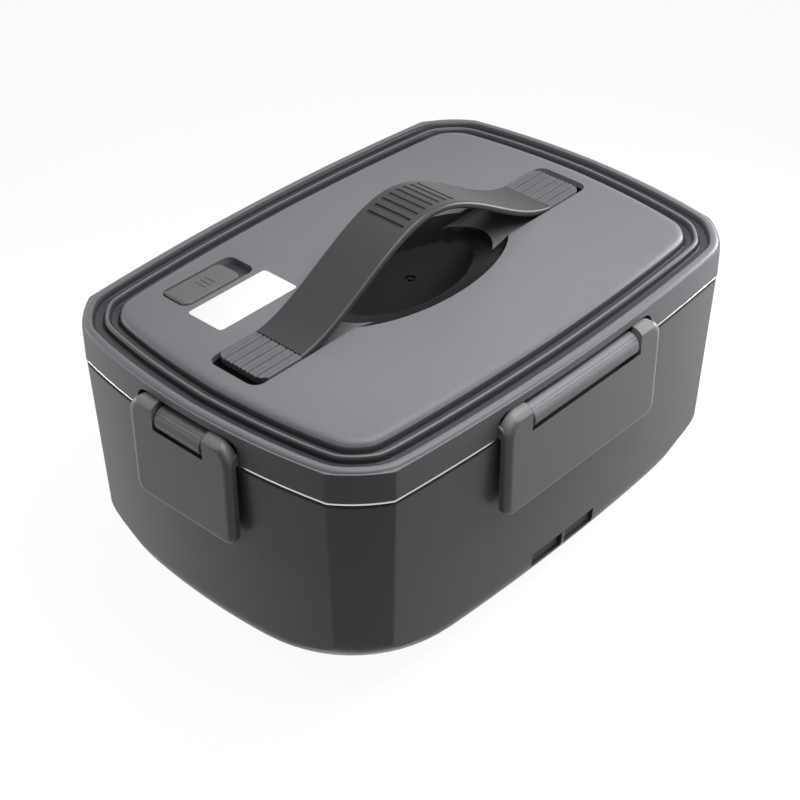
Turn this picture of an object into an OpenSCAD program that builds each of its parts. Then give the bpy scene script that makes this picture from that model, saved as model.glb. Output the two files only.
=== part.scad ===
/* [Body] */
// Overall length across the middles of the short sides
length = 236; // [220:1:260]
// Overall width across the middles of the long sides
width = 167; // [155:1:185]
// Height of the shell's top edge above the table
shell_top = 86.4; // [80:0.2:96]
// Radius of the bowed long sides, seen from above
long_bow = 1004; // [700:1:2000]
// Radius of the bowed short sides, seen from above
short_bow = 292; // [250:1:600]
// Distance from the end of the box to the corner facet, along a long side
facet_long = 23.7; // [20:0.1:28]
// Distance from the side of the box to the corner facet, along a short side
facet_short = 21.1; // [18:0.1:25]
// Radius of the slightly curved corner facet
facet_bow = 58; // [50:1:80]
// Inward draft of the shell wall for each millimetre of height
draft = 0.037; // [0:0.001:0.05]
// Radius between the shell wall and its floor
base_round = 14; // [8:0.5:18]
// Wall thickness of the outer shell
shell_wall = 2.4; // [1.8:0.1:3]
// Set-back of the shell's top edge from the lid's wall
shell_inset = 0.3; // [0.1:0.1:1]
// Height of the rubber feet below the shell's floor
foot_height = 1.5; // [1:0.1:4]
// Radius of a rubber foot
foot_r = 6; // [5:0.5:8]
// Lengthwise distance from the end of the box to a foot
foot_end = 34; // [30:1:42]
// Crosswise distance from the side of the box to a foot
foot_side = 33.5; // [29.5:0.5:39.5]

/* [Lid] */
// Gap between the shell's top edge and the lid's wall, which shows the container's rolled edge
seam = 2.3; // [2.2:0.1:3]
// Height of the lid's outer wall
lid_wall_h = 12.4; // [12:0.1:16]
// Wall thickness of the lid
lid_wall = 2.4; // [1.8:0.1:3]
// Height of the raised panel above the top of the lid's wall
panel_rise = 2.4; // [1.5:0.1:3.5]
// Corner radius of the rim beads and the panel, measured at the lid's outline
rim_corner = 30; // [29:0.5:34]
// Width of the ledge outside the outer bead
edge_w = 0.5; // [0.4:0.1:1]
// Width of the outer bead
bead_w = 4.1; // [3:0.1:5]
// Width of the groove inside the outer bead
groove_w = 1; // [0.8:0.1:1.6]
// Width of the groove around the panel
inner_groove_w = 1.7; // [1:0.1:2.4]
// Width of the flat band between the beads
band_w = 3; // [2:0.1:4]
// Width of the inner bead
inner_bead_w = 2.3; // [1.8:0.1:3]
// Width of the rounded shoulder around the panel
shoulder_w = 7; // [5:0.1:8]
// Height of the two rim beads above the top of the lid's wall
bead_rise = 1; // [0.5:0.1:1.5]
// Depth of the two rim grooves below the top of the lid's wall
groove_depth = 0.6; // [0.3:0.1:1]
// Thickness of the lid's deck and panel
deck = 2.6; // [2:0.1:3]

/* [Container] */
// Width of the container's flange
flange_w = 14; // [13:0.5:18]
// Thickness of the container's steel sheet
steel = 0.8; // [0.5:0.1:1.2]
// Height of the rolled edge of the flange
roll_h = 1.2; // [1:0.1:1.3]
// Inward draft of the container wall for each millimetre of height
pan_draft = 0.05; // [0.02:0.005:0.07]
// Radius between the container's wall and its floor
pan_round = 12; // [8:0.5:13]
// Corner radius of the container and liner, measured at the lid's outline
pan_corner = 40; // [38:0.5:46]
// Height of the container's floor above the table
pan_floor = 22.7; // [21:0.1:27]
// Wall thickness of the inner liner
liner_wall = 2; // [1.5:0.1:2.5]
// Clearance between the container and the inner liner
liner_gap = 1; // [0.6:0.1:1.5]

/* [Latches] */
// Width of the latch flap on a long side
long_latch_w = 90; // [80:1:100]
// Width of the latch flap on a short side
short_latch_w = 52; // [46:1:60]
// Width of each ear beside the hinge barrel
ear_w = 13; // [10:0.5:16]
// Height of the hinge pin above the bottom edge of the lid
pin_rise = 2.4; // [2.3:0.1:3]
// Depth of the hinge pin behind the face of the lid's wall
pin_depth = 0.8; // [0.5:0.1:1.2]
// Radius of the hinge pin
pin_r = 1.25; // [1:0.05:1.5]
// Radius of the hinge barrel
barrel_r = 5; // [4.5:0.1:5.3]
// Outer radius of an ear
ear_r = 6.6; // [6:0.1:6.8]
// Length of the flap from the pin to its lower edge
flap_drop = 38; // [32:0.5:44]
// Thickness of the flap's face plate
flap_plate = 2.2; // [1.6:0.1:2.4]
// Distance from the pin down to the top of the hook
hook_drop = 21.4; // [18:0.1:26]
// How far the hook reaches under its catch
hook_bite = 1.3; // [0.8:0.1:1.5]

/* [Handle] */
// Width of the strap
strap_w = 24.6; // [20:0.1:28]
// Thickness of the strap
strap_t = 3; // [2.4:0.1:3.2]
// Height of the bow above the strap's ends
strap_rise = 29.6; // [22:0.2:36]
// Distance from the end of the box to the strap's end
strap_end = 47; // [46:1:52]
// How far the bow's foot runs on beyond the strap's end
bow_run = 4; // [1:1:9]
// Length of a slider
slider_l = 19.7; // [16:0.1:22]
// Outward travel of a slider
slider_travel = 4.4; // [3:0.1:6]
// Clearance between the strap and the sides of its channel
strap_gap = 0.4; // [0.3:0.1:0.8]
// Half of the width of the finger bowl
bowl_half_w = 25.5; // [22:0.5:28]
// Depth of the finger bowl at its middle
bowl_depth = 5; // [4:0.1:6]

/* [Vent and label] */
// Length of the vent plug
plug_l = 29; // [24:0.5:34]
// Width of the vent plug
plug_w = 13; // [10:0.5:15]
// Distance from the end of the box to the plug's hinged end
plug_end = 41.6; // [38:0.1:48]
// Distance from the rear of the box to the plug's middle line
plug_side = 32.7; // [30.5:0.1:35.5]
// Distance from the plug's hinged end to the middle of the label
label_end = 17.4; // [15:0.1:24]
// Distance from the plug's middle line to the middle of the label
label_side = 19.4; // [18:0.1:22]
// Length of the finger notch beyond the plug
notch_l = 6.8; // [5:0.1:9]
// Length of the blank label
label_l = 40; // [30:1:46]
// Width of the blank label
label_w = 18; // [12:0.5:19]

/* [Power inlets] */
// Width of the inlet bay
bay_w = 38; // [36:0.5:44]
// Height of the inlet bay
bay_h = 6.8; // [6.4:0.1:8]
// Height of the bay's lower edge above the table
bay_z = 9.4; // [9:0.1:11]
// Distance between the two pins of an inlet
pin_pitch = 8; // [7.5:0.1:9]
// Radius of an inlet pin
contact_r = 1; // [0.8:0.05:1.1]

/* [Heater] */
// Clearance between the heating plate's end and the liner's base fillet
plate_end_gap = 3.37; // [2:0.01:12]
// Clearance between the heating plate's side and the liner's base fillet
plate_side_gap = 1.87; // [1.5:0.01:8]
// Thickness of the heating plate
plate_t = 1.8; // [1.2:0.1:2.5]
// Length of a heater
heater_l = 70; // [50:1:90]
// Width of a heater
heater_w = 20; // [16:1:24]
// Thickness of a heater
heater_t = 6; // [5:0.5:7]

// Thickness of the gasket between the plate and the inner liner
gasket_t = 1; // [0.6:0.1:1.5]
// How far the plate and its gasket lap over the liner's floor
plate_lap = 6; // [4:0.5:8]
// Width of the clip that presses the heaters to the plate
clip_w = 34; // [26:1:40]
// Thickness of the clip
clip_t = 1.5; // [1:0.1:2]
// Radius of the thermostat
thermostat_r = 8; // [7:0.5:9]

/* [Base cover] */
// Length of the base cover
cover_l = 150; // [130:1:152]
// Width of the base cover
cover_w = 80; // [66:1:84]
// Thickness of the ledge that carries the base cover
ledge_t = 2.5; // [2:0.1:3.5]
// Width of the ledge inside the cover's edge
ledge_w = 7; // [6:0.5:9]
// Thickness of the insulation pad
pad_t = 4; // [2:0.5:4]

/* [Fasteners] */
// Radius of a case screw's thread
screw_r = 1.5; // [1.2:0.1:1.7]
// Radius of a case screw's head
screw_head_r = 2.8; // [2.4:0.1:3]
// Radius of a small screw's thread
small_r = 1; // [0.8:0.1:1.1]
// Radius of a small screw's head
small_head_r = 1.9; // [1.6:0.1:2.1]
// Radius of a screw post or boss
boss_r = 4; // [3.4:0.1:4.4]

/* [Fits] */
// Clearance between pieces that rest on each other but come apart
rest_gap = 0.1; // [0.05:0.01:0.2]
// Clearance between a moving piece and its neighbour
run_gap = 0.3; // [0.2:0.05:0.5]
// Radial clearance of a hinge pin in the piece that turns on it
pin_gap = 0.05; // [0.02:0.01:0.08]

/* [Hidden] */
$fn = 64;

// Facets of the wide bowed sides
bow_fn = 256;
// Facets of the corner arcs
corner_fn = 128;
// Steps along a small arc
arc_steps = 8;
// How far a cut runs past the face it opens
past = 1;
// How far joined shapes run into each other
bite = 0.4;
// How far a corner circle stands past the sides, so that no faces are only tangent
rim_cross = 0.02;
pan_cross = 0.3;

half_l = length / 2;
half_w = width / 2;
foot_x = half_l - foot_end;
foot_y = half_w - foot_side;

// Bow axes of the long and the short sides, beyond the opposite side
long_c = long_bow - half_w;
short_c = short_bow - half_l;

// Where the corner facet meets the long side and the short side
kink_long = [half_l - facet_long, sqrt(pow(long_bow, 2) - pow(half_l - facet_long, 2)) - long_c];
kink_short = [sqrt(pow(short_bow, 2) - pow(half_w - facet_short, 2)) - short_c, half_w - facet_short];
facet_run = kink_short - kink_long;
facet_mid = (kink_long + kink_short) / 2;
facet_out = [-facet_run.y, facet_run.x] / norm(facet_run);
facet_c = facet_mid - facet_out * sqrt(pow(facet_bow, 2) - pow(norm(facet_run) / 2, 2));

// Centre of a corner circle of radius r that just crosses the long and the short side
function corner_at(r, out) = let(
  a = [0, -long_c],
  b = [-short_c, 0],
  ra = long_bow - r + out,
  rb = short_bow - r + out,
  d = norm(b - a),
  u = (b - a) / d,
  along = (ra * ra - rb * rb + d * d) / (2 * d)
) a + u * along + [-u.y, u.x] * sqrt(ra * ra - along * along) * -1;

// Corner styles: centre and radius at the lid's outline
FACET = [facet_c, facet_bow];
RIM = [corner_at(rim_corner, rim_cross), rim_corner];
PAN = [corner_at(pan_corner, pan_cross), pan_corner];

// Heights
shell_low = foot_height;
floor_top = shell_low + shell_wall;
lid_low = shell_top + seam;
lid_high = lid_low + lid_wall_h;
panel_top = lid_high + panel_rise;
liner_flange = 0.8;
pan_flange = shell_top + liner_flange + rest_gap;
plate_top = pan_floor - rest_gap;
plate_low = plate_top - plate_t;
liner_floor = plate_low - gasket_t;
liner_low = liner_floor - liner_wall;
heater_low = plate_low - heater_t;
clip_low = heater_low - clip_t;

// Insets from the lid's wall
pan_inset = shell_inset + flange_w;
liner_in = pan_inset - liner_gap;
liner_out = liner_in - liner_wall;
liner_edge = shell_inset + 1.5;
liner_flat = liner_in + pan_draft * (shell_top - liner_floor) + pan_round;
plate_l = 2 * (half_l - liner_flat - plate_end_gap);
plate_w = 2 * (half_w - liner_flat - plate_side_gap);
bead_in = edge_w + bead_w;
band_in = bead_in + groove_w;
inner_bead_in = band_in + band_w;
groove_in = inner_bead_in + inner_bead_w;
lip_in = groove_in + inner_groove_w;

// A plan outline: the four bowed sides, cut by the corner style
module plan(style, inset) {
  c = style[0];
  intersection() {
    translate([0, long_c]) circle(r = long_bow - inset, $fn = bow_fn);
    translate([0, -long_c]) circle(r = long_bow - inset, $fn = bow_fn);
    translate([short_c, 0]) circle(r = short_bow - inset, $fn = bow_fn);
    translate([-short_c, 0]) circle(r = short_bow - inset, $fn = bow_fn);
    union() {
      square([2 * c.x, 2 * width], center = true);
      square([2 * length, 2 * c.y], center = true);
      for (sx = [-1, 1], sy = [-1, 1])
        translate([sx * c.x, sy * c.y]) circle(r = style[1] - inset, $fn = corner_fn);
    }
  }
}

// A plan outline raised from z = low to z = high
module slab(style, inset, low, high) {
  translate([0, 0, low]) linear_extrude(high - low) plan(style, inset);
}

// A flat ring between two insets
module ring(style, outer, inner, low, high) {
  difference() {
    slab(style, outer, low, high);
    slab(style, inner, low - past, high + past);
  }
}

// Half section of a drafted tub: radius r at height ref, floor at low, fillet q
module tub_section(r, slope, ref, low, high, q) {
  t = atan(slope);
  cx = r - slope * (ref - low - q) - q / cos(t);
  polygon(concat(
    [[0, low]],
    [for (i = [0:arc_steps]) let(a = -90 + i * (90 - t) / arc_steps)
      [cx + q * cos(a), low + q + q * sin(a)]],
    [[r - slope * (ref - high), high], [0, high]]
  ));
}

module tub_turn(r, slope, ref, low, high, q, steps) {
  rotate_extrude($fn = steps) tub_section(r, slope, ref, low, high, q);
}

// A solid tub: inset at height ref, narrowing downwards by slope, with a rounded base edge
module tub(style, inset, slope, ref, low, high, q) {
  c = style[0];
  intersection() {
    translate([0, long_c, 0]) tub_turn(long_bow - inset, slope, ref, low, high, q, bow_fn);
    translate([0, -long_c, 0]) tub_turn(long_bow - inset, slope, ref, low, high, q, bow_fn);
    translate([short_c, 0, 0]) tub_turn(short_bow - inset, slope, ref, low, high, q, bow_fn);
    translate([-short_c, 0, 0]) tub_turn(short_bow - inset, slope, ref, low, high, q, bow_fn);
    union() {
      translate([-c.x, -width, low]) cube([2 * c.x, 2 * width, high - low]);
      translate([-length, -c.y, low]) cube([2 * length, 2 * c.y, high - low]);
      for (sx = [-1, 1], sy = [-1, 1])
        translate([sx * c.x, sy * c.y, 0])
          tub_turn(style[1] - inset, slope, ref, low, high, q, corner_fn);
    }
  }
}

// Children placed on a side, with +Y pointing out of the box
module at_rear() { translate([0, half_w, 0]) children(); }
module at_front() { rotate([0, 0, 180]) translate([0, half_w, 0]) children(); }
module at_left() { rotate([0, 0, 90]) translate([0, half_l, 0]) children(); }
module at_right() { rotate([0, 0, -90]) translate([0, half_l, 0]) children(); }

// Side profile (out, up) drawn across a width along X
module across(w) {
  rotate([90, 0, 90]) translate([0, 0, -w / 2]) linear_extrude(w) children();
}

// A round bar along X
module bar(r, w) { rotate([0, 90, 0]) cylinder(r = r, h = w, center = true); }

// A block given by its ranges along X, Y and Z
module block(x0, x1, y0, y1, z0, z1) {
  translate([x0, y0, z0]) cube([x1 - x0, y1 - y0, z1 - z0]);
}

// Points of a rectangle with rounded corners
function rounded_points(l, w, r) = [for (k = [0:3], i = [0:arc_steps])
  let(
    a = 90 * (k + i / arc_steps),
    sx = (k == 0 || k == 3) ? 1 : -1,
    sy = (k < 2) ? 1 : -1
  ) [sx * (l / 2 - r) + r * cos(a), sy * (w / 2 - r) + r * sin(a)]];

// A plate with rounded corners centred on the box
module rounded_plate(l, w, r, low, high) {
  translate([0, 0, low]) linear_extrude(high - low) polygon(rounded_points(l, w, r));
}

// Latch sizes, seen from the side with z up and y out of the lid's wall
pin_z = lid_low + pin_rise;
face_out = barrel_r - pin_depth;
plate_in = face_out - flap_plate;
pocket_in = pin_depth + ear_r + run_gap;
pocket_top = pin_z + ear_r + run_gap;
flap_low = pin_z - flap_drop;
barrel_slot = 1.1;
hook_top = pin_z - hook_drop;
hook_h = 2.3;
catch_low = hook_top + run_gap;
catch_h = 3;
catch_out = plate_in - run_gap;
hook_in = catch_out - hook_bite;
rib_t = 1.6;
rib_low = flap_low + 6;
flap_bevel = 4;
flap_bevel_depth = 2;
flap_corner = 4;
pin_stop = 1.5;
pin_end_gap = 0.3;
skin = 2;
catch_inset = 18;
short_catch_inset = 17;

function barrel_half(w) = w / 2 - ear_w - run_gap;
function pin_half(w) = w / 2 - pin_stop - pin_end_gap;

// Latch outline across the hinge: plate, ear and hub
module flap_side() {
  intersection() {
    union() {
      translate([run_gap, flap_low]) square([face_out - run_gap, pin_z - flap_low]);
      intersection() {
        translate([-pin_depth, pin_z]) circle(r = ear_r, $fn = 96);
        union() {
          translate([run_gap, pin_z - ear_r]) square([face_out - run_gap, 2 * ear_r]);
          translate([-pin_depth - bite, lid_low + rest_gap]) square([face_out + pin_depth + bite, 2 * ear_r]);
        }
      }
      translate([-pin_depth, pin_z]) circle(r = pin_rise - rest_gap, $fn = 48);
    }
    translate([-2 * ear_r, flap_low]) square([2 * ear_r + face_out, flap_drop + 2 * ear_r]);
  }
}

// Latch outline seen from above, with bevelled front edges
module flap_plan(w) {
  h = w / 2;
  polygon([
    [-h, -2 * ear_r], [-h, face_out - flap_bevel_depth], [-h + flap_bevel, face_out],
    [h - flap_bevel, face_out], [h, face_out - flap_bevel_depth], [h, -2 * ear_r]
  ]);
}

// Latch outline seen from the front, with rounded lower corners
module flap_front(w) {
  h = w / 2;
  q = flap_corner;
  polygon(concat(
    [[-h, pin_z + 2 * ear_r]],
    [for (i = [0:arc_steps]) let(a = 180 + 90 * i / arc_steps) [-h + q + q * cos(a), flap_low + q + q * sin(a)]],
    [for (i = [0:arc_steps]) let(a = 270 + 90 * i / arc_steps) [h - q + q * cos(a), flap_low + q + q * sin(a)]],
    [[h, pin_z + 2 * ear_r]]
  ));
}

// A flap latch of width w, with its hook below the hinge
module latch(w, catch_w) {
  inner = w / 2 - rib_t;
  difference() {
    intersection() {
      across(w) flap_side();
      translate([0, 0, flap_low - past]) linear_extrude(flap_drop + 2 * ear_r + 2 * past) flap_plan(w);
      translate([0, 2 * ear_r, 0]) rotate([90, 0, 0]) linear_extrude(4 * ear_r) flap_front(w);
    }
    block(-inner, inner, -2 * ear_r, plate_in, flap_low - past, pin_z - ear_r);
    block(-barrel_half(w) - run_gap, barrel_half(w) + run_gap, -2 * ear_r, face_out + past,
      pin_z - barrel_r - barrel_slot, pin_z + 2 * ear_r);
    translate([0, -pin_depth, pin_z]) bar(pin_r + pin_gap, 2 * (pin_half(w) + pin_end_gap));
  }
  block(-catch_w / 2, catch_w / 2, hook_in, plate_in + bite, hook_top - hook_h, hook_top);
}

// Hinge pin of a latch of width w
module latch_pin(w) {
  translate([0, -pin_depth, pin_z]) bar(pin_r, 2 * pin_half(w));
}

// Solid behind a latch that closes its pocket
module pocket_wall(w) {
  h = w / 2 + run_gap + skin;
  block(-h, h, -pocket_in - skin, past, lid_low, lid_high - deck + bite);
}

module pocket_cut(w) {
  h = w / 2 + run_gap;
  block(-h, h, -pocket_in, 3 * past, lid_low - past, pocket_top);
}

// Hinge barrel on the lid and the web that carries it
module barrel(w) {
  b = 2 * barrel_half(w);
  translate([0, -pin_depth, 0]) difference() {
    across(b) union() {
      intersection() {
        translate([0, pin_z]) circle(r = barrel_r, $fn = 96);
        union() {
          translate([-barrel_r - past, lid_low]) square([2 * (barrel_r + past), 2 * barrel_r]);
          translate([pin_depth + run_gap, pin_z - 2 * barrel_r]) square([2 * barrel_r, 2 * barrel_r + past]);
        }
      }
      translate([-pocket_in + pin_depth - bite, lid_low]) square([pocket_in - pin_depth + bite, pin_rise + barrel_r / 2]);
    }
    translate([0, 0, pin_z]) bar(pin_r, b + past);
  }
}

// Catch on the shell that a latch hooks under
module catch_ledge(catch_w) {
  block(-catch_w / 2, catch_w / 2, -shell_inset - draft * hook_drop - shell_wall, catch_out, catch_low, catch_low + catch_h);
}

long_catch_w = long_latch_w - 2 * (rib_t + catch_inset + 1.4);
short_catch_w = short_latch_w - 2 * (rib_t + short_catch_inset + 1.4);

// Inlet bay, drawn from the front wall inwards
bay_wall = 1.6;
bay_mid = bay_z + bay_h / 2;
bay_face = half_w - shell_inset - draft * (shell_top - bay_mid) - 1.5;
bay_depth = 18;
bay_set = 0.3;
socket_w = (bay_w - bay_wall) / 2;
socket_x = (socket_w + bay_wall) / 2;
dust_t = 1.5;
dust_out = -bay_face + bay_set;
dust_in = dust_out + dust_t;
inlet_front = dust_in + run_gap;
inlet_back = -bay_face + bay_depth;
inlet_floor = inlet_back - 4;
socket_wall = 1;
trunnion_r = 0.5;
trunnion_l = 0.5;
dust_axis = bay_z + bay_h - run_gap - dust_t / 2;

module bay_collar() {
  block(-bay_w / 2 - bay_wall, bay_w / 2 + bay_wall, -half_w, inlet_back, bay_z - bay_wall, bay_z + bay_h + bay_wall);
}

module bay_cut() {
  for (s = [-1, 1]) {
    block(s * socket_x - socket_w / 2, s * socket_x + socket_w / 2, -half_w - past, inlet_back + past, bay_z, bay_z + bay_h);
    translate([s * socket_x, dust_out + dust_t / 2, dust_axis])
      bar(trunnion_r + pin_gap, socket_w + 2 * trunnion_l);
  }
}

// Feet and the posts above them share these places
module at_feet() {
  for (sx = [-1, 1], sy = [-1, 1]) translate([sx * foot_x, sy * foot_y, 0]) children();
}

cover_corner = 8;
cover_screw_x = cover_l / 2 - cover_corner - boss_r - 3;
cover_screw_y = cover_w / 2 - ledge_w / 2;
module at_cover_screws() {
  for (sx = [-1, 1], sy = [-1, 1]) translate([sx * cover_screw_x, sy * cover_screw_y, 0]) children();
}

// A screw pointing up: head at z = low
module screw(r, head_r, head_h, low, high) {
  translate([0, 0, low]) cylinder(r = head_r, h = head_h);
  translate([0, 0, low]) cylinder(r = r, h = high - low);
}

screw_gap = 0.05;
head_h = 1.2;
small_head_h = 1.2;
cover_boss_h = 8;
post_depth = 10;

module outer_shell() {
  color("#5c5c5e") difference() {
    union() {
      difference() {
        tub(FACET, shell_inset, draft, shell_top, shell_low, shell_top, base_round);
        difference() {
          tub(FACET, shell_inset + shell_wall, draft, shell_top, floor_top, shell_top + past,
            base_round - shell_wall);
          bay_collar();
          rounded_plate(cover_l + 2 * bay_wall, cover_w + 2 * bay_wall, cover_corner, floor_top - past, floor_top + ledge_t);
          at_cover_screws() translate([0, 0, floor_top - past]) cylinder(r = boss_r, h = cover_boss_h + ledge_t);
        }
      }
      at_front() catch_ledge(long_catch_w);
      at_rear() catch_ledge(long_catch_w);
      at_left() catch_ledge(short_catch_w);
      at_right() catch_ledge(short_catch_w);
    }
    bay_cut();
    rounded_plate(cover_l, cover_w, cover_corner, shell_low - past, floor_top);
    difference() {
      rounded_plate(cover_l - 2 * ledge_w, cover_w - 2 * ledge_w, cover_corner, floor_top - past, floor_top + ledge_t + past);
      at_cover_screws() translate([0, 0, floor_top - 2 * past]) cylinder(r = boss_r, h = cover_boss_h);
    }
    at_cover_screws() translate([0, 0, floor_top - past]) cylinder(r = screw_r + screw_gap, h = cover_boss_h);
    at_feet() translate([0, 0, shell_low - past]) cylinder(r = screw_r + screw_gap, h = 2 * shell_wall);
    at_feet() translate([0, 0, shell_low - past]) cylinder(r = screw_head_r + run_gap, h = head_h + past);
  }
}

module inner_liner() {
  color("#4a4a4c") difference() {
    union() {
      tub(PAN, liner_out, pan_draft, shell_top, liner_low, shell_top + liner_flange, pan_round + liner_wall);
      slab(FACET, liner_edge, shell_top, shell_top + liner_flange);
      at_feet() translate([0, 0, floor_top]) cylinder(r = boss_r, h = liner_low - floor_top + bite);
      for (s = [-1, 1]) translate([s * clip_screw_x, 0, heater_low]) cylinder(r = boss_r, h = liner_low - heater_low + bite);
    }
    tub(PAN, liner_in, pan_draft, shell_top, liner_floor, shell_top + liner_flange + past, pan_round);
    rounded_plate(window_l, window_w, window_corner, liner_low - past, liner_floor + past);
    at_feet() translate([0, 0, floor_top - past]) cylinder(r = screw_r + screw_gap, h = post_depth + past);
    for (s = [-1, 1]) translate([s * clip_screw_x, 0, heater_low - past])
      cylinder(r = small_r + screw_gap, h = clip_screw_l + past);
  }
}

window_l = plate_l - 2 * plate_lap;
window_w = plate_w - 2 * plate_lap;
window_corner = 10;
clip_screw_x = window_l / 2 + boss_r;
clip_screw_l = 4;
clip_l = 2 * (clip_screw_x + boss_r);

module liner_screws() {
  color("#b8b8bc") at_feet() screw(screw_r, screw_head_r, head_h, shell_low, floor_top + post_depth - run_gap);
}

cover_t = shell_wall - rest_gap;
cover_top = shell_low + cover_t;

module bottom_cover() {
  color("#3c3c3e") difference() {
    rounded_plate(cover_l - 2 * run_gap, cover_w - 2 * run_gap, cover_corner, shell_low, cover_top);
    at_cover_screws() translate([0, 0, shell_low - past]) cylinder(r = screw_r + screw_gap, h = shell_wall + 2 * past);
    at_cover_screws() translate([0, 0, shell_low - past]) cylinder(r = screw_head_r + run_gap, h = head_h + past);
  }
}

module cover_screws() {
  color("#b8b8bc") at_cover_screws() screw(screw_r, screw_head_r, head_h, shell_low, floor_top + cover_boss_h - past - run_gap);
}

module rubber_feet() {
  color("#2a2a2a") at_feet() cylinder(r = foot_r, h = foot_height);
}

module heating_plate() {
  color("#c4c4c8") difference() {
    rounded_plate(plate_l, plate_w, plate_lap + window_corner, plate_low, plate_top);
    at_thermostat() for (s = [-1, 1]) translate([s * ear_pitch, 0, plate_low - past])
      cylinder(r = small_r + screw_gap, h = past + plate_t / 2);
  }
}

module plate_gasket() {
  color("#b0473a") difference() {
    rounded_plate(plate_l, plate_w, plate_lap + window_corner, liner_floor, plate_low);
    rounded_plate(window_l, window_w, window_corner, liner_floor - past, plate_low + past);
  }
}

heater_y = heater_w / 2 + 3;

module ptc_heaters() {
  color("#d8d8d8") for (s = [-1, 1])
    block(-heater_l / 2, heater_l / 2, s * heater_y - heater_w / 2, s * heater_y + heater_w / 2, heater_low, plate_low);
}

module heater_clip() {
  color("#a0a0a4") difference() {
    rounded_plate(clip_l, clip_w, boss_r, clip_low, heater_low);
    for (s = [-1, 1]) translate([s * clip_screw_x, 0, clip_low - past]) cylinder(r = small_r + screw_gap, h = clip_t + 2 * past);
  }
}

module clip_screws() {
  color("#b8b8bc") for (s = [-1, 1]) translate([s * clip_screw_x, 0, 0])
    screw(small_r, small_head_r, small_head_h, clip_low - small_head_h, heater_low + clip_screw_l - run_gap);
}

module insulation_pad() {
  color("#e6e0d0")
    rounded_plate(cover_l - 2 * (ledge_w + boss_r), cover_w - 2 * (ledge_w + boss_r), cover_corner - 2, cover_top, cover_top + pad_t);
}

// The thermostat hangs under the plate beside the rear heater
thermostat_y = heater_y + heater_w / 2 + thermostat_r + 2;
thermostat_h = 8;
ear_pitch = thermostat_r + 3.4;
ear_t = 1;
module at_thermostat() { translate([0, thermostat_y, 0]) children(); }

module thermostat() {
  color("#2c2c2e") at_thermostat() difference() {
    union() {
      translate([0, 0, plate_low - thermostat_h]) cylinder(r = thermostat_r, h = thermostat_h);
      block(-ear_pitch - 3, ear_pitch + 3, -3, 3, plate_low - ear_t, plate_low);
    }
    for (s = [-1, 1]) translate([s * ear_pitch, 0, plate_low - ear_t - past])
      cylinder(r = small_r + screw_gap, h = ear_t + 2 * past);
  }
}

module thermostat_screws() {
  color("#b8b8bc") at_thermostat() for (s = [-1, 1]) translate([s * ear_pitch, 0, 0])
    screw(small_r, small_head_r, small_head_h, plate_low - ear_t - small_head_h, plate_low + plate_t / 2 - rest_gap);
}

// The fuse lies under the plate in front of the front heater
fuse_y = -heater_y - heater_w / 2 - 9.5;
fuse_x = -socket_x + pin_pitch / 2;
fuse_l = 10;
fuse_w = 5;
fuse_h = 4;
fuse_lead = 2.5;
wire_r = 0.9;

module thermal_fuse() {
  color("#d9d4c4") {
    block(fuse_x - fuse_w / 2, fuse_x + fuse_w / 2, fuse_y - fuse_l / 2, fuse_y + fuse_l / 2, plate_low - fuse_h, plate_low);
    translate([fuse_x, fuse_y, plate_low - fuse_h / 2]) rotate([0, 0, 90]) bar(small_r, fuse_l + 2 * fuse_lead);
  }
}

// An inlet block with an open socket, at its place in the bay
module inlet_body(x) {
  difference() {
    block(x - socket_w / 2, x + socket_w / 2, inlet_front, inlet_back, bay_z, bay_z + bay_h);
    block(x - socket_w / 2 + 2 * socket_wall, x + socket_w / 2 - 2 * socket_wall, inlet_front - past, inlet_floor,
      bay_z + socket_wall, bay_z + bay_h - socket_wall);
    inlet_contacts(x, contact_r);
  }
}

// The two pins of an inlet, through the socket's floor
module inlet_contacts(x, r) {
  for (s = [-1, 1]) translate([x + s * pin_pitch / 2, inlet_floor - contact_l, bay_mid])
    rotate([-90, 0, 0]) cylinder(r = r, h = contact_l + inlet_back - inlet_floor + tail_l);
}

contact_l = 8;
tail_l = 3;

module ac_inlet() { color("#28282a") inlet_body(-socket_x); }
module dc_inlet() { color("#28282a") inlet_body(socket_x); }
module ac_pins() { color("#c8b070") inlet_contacts(-socket_x, contact_r); }
module dc_pins() { color("#c8b070") inlet_contacts(socket_x, contact_r); }

// A dust cover hinged on two trunnions at its upper edge
module dust_cover(x) {
  w = socket_w - 2 * run_gap;
  block(x - w / 2, x + w / 2, dust_out, dust_in, bay_z + run_gap, dust_axis);
  translate([x, dust_out + dust_t / 2, dust_axis]) {
    bar(dust_t / 2, w);
    bar(trunnion_r, socket_w + 2 * (trunnion_l - pin_gap));
  }
}

module ac_cover() { color("#7b7b7d") dust_cover(-socket_x); }
module dc_cover() { color("#7b7b7d") dust_cover(socket_x); }

// Round wires swept along hand-chosen points
wire_sides = 8;
wire_steps = 3;

function blend_point(a, b, c, d, t) =
  ((2 * b) + (c - a) * t + (2 * a - 5 * b + 4 * c - d) * t * t + (3 * b - a - 3 * c + d) * t * t * t) / 2;

function wire_path(p) = concat(
  [p[0]],
  [for (i = [0:len(p) - 2], k = [1:wire_steps]) blend_point(
    i == 0 ? 2 * p[0] - p[1] : p[i - 1], p[i], p[i + 1],
    i == len(p) - 2 ? 2 * p[i + 1] - p[i] : p[i + 2], k / wire_steps)]
);

function unit(v) = v / norm(v);

function wire_ring(p, i, first, last) = let(
  n = len(p) - 1,
  t = i == 0 ? first : i == n ? last : unit(p[i + 1] - p[i - 1]),
  s = unit(cross_up(t)),
  u = cross(s, t)
) [for (k = [0:wire_sides - 1]) let(a = 360 * k / wire_sides) p[i] + wire_r * (cos(a) * s + sin(a) * u)];

function cross_up(t) = cross(t, [0.1, 0.05, 1]);

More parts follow.
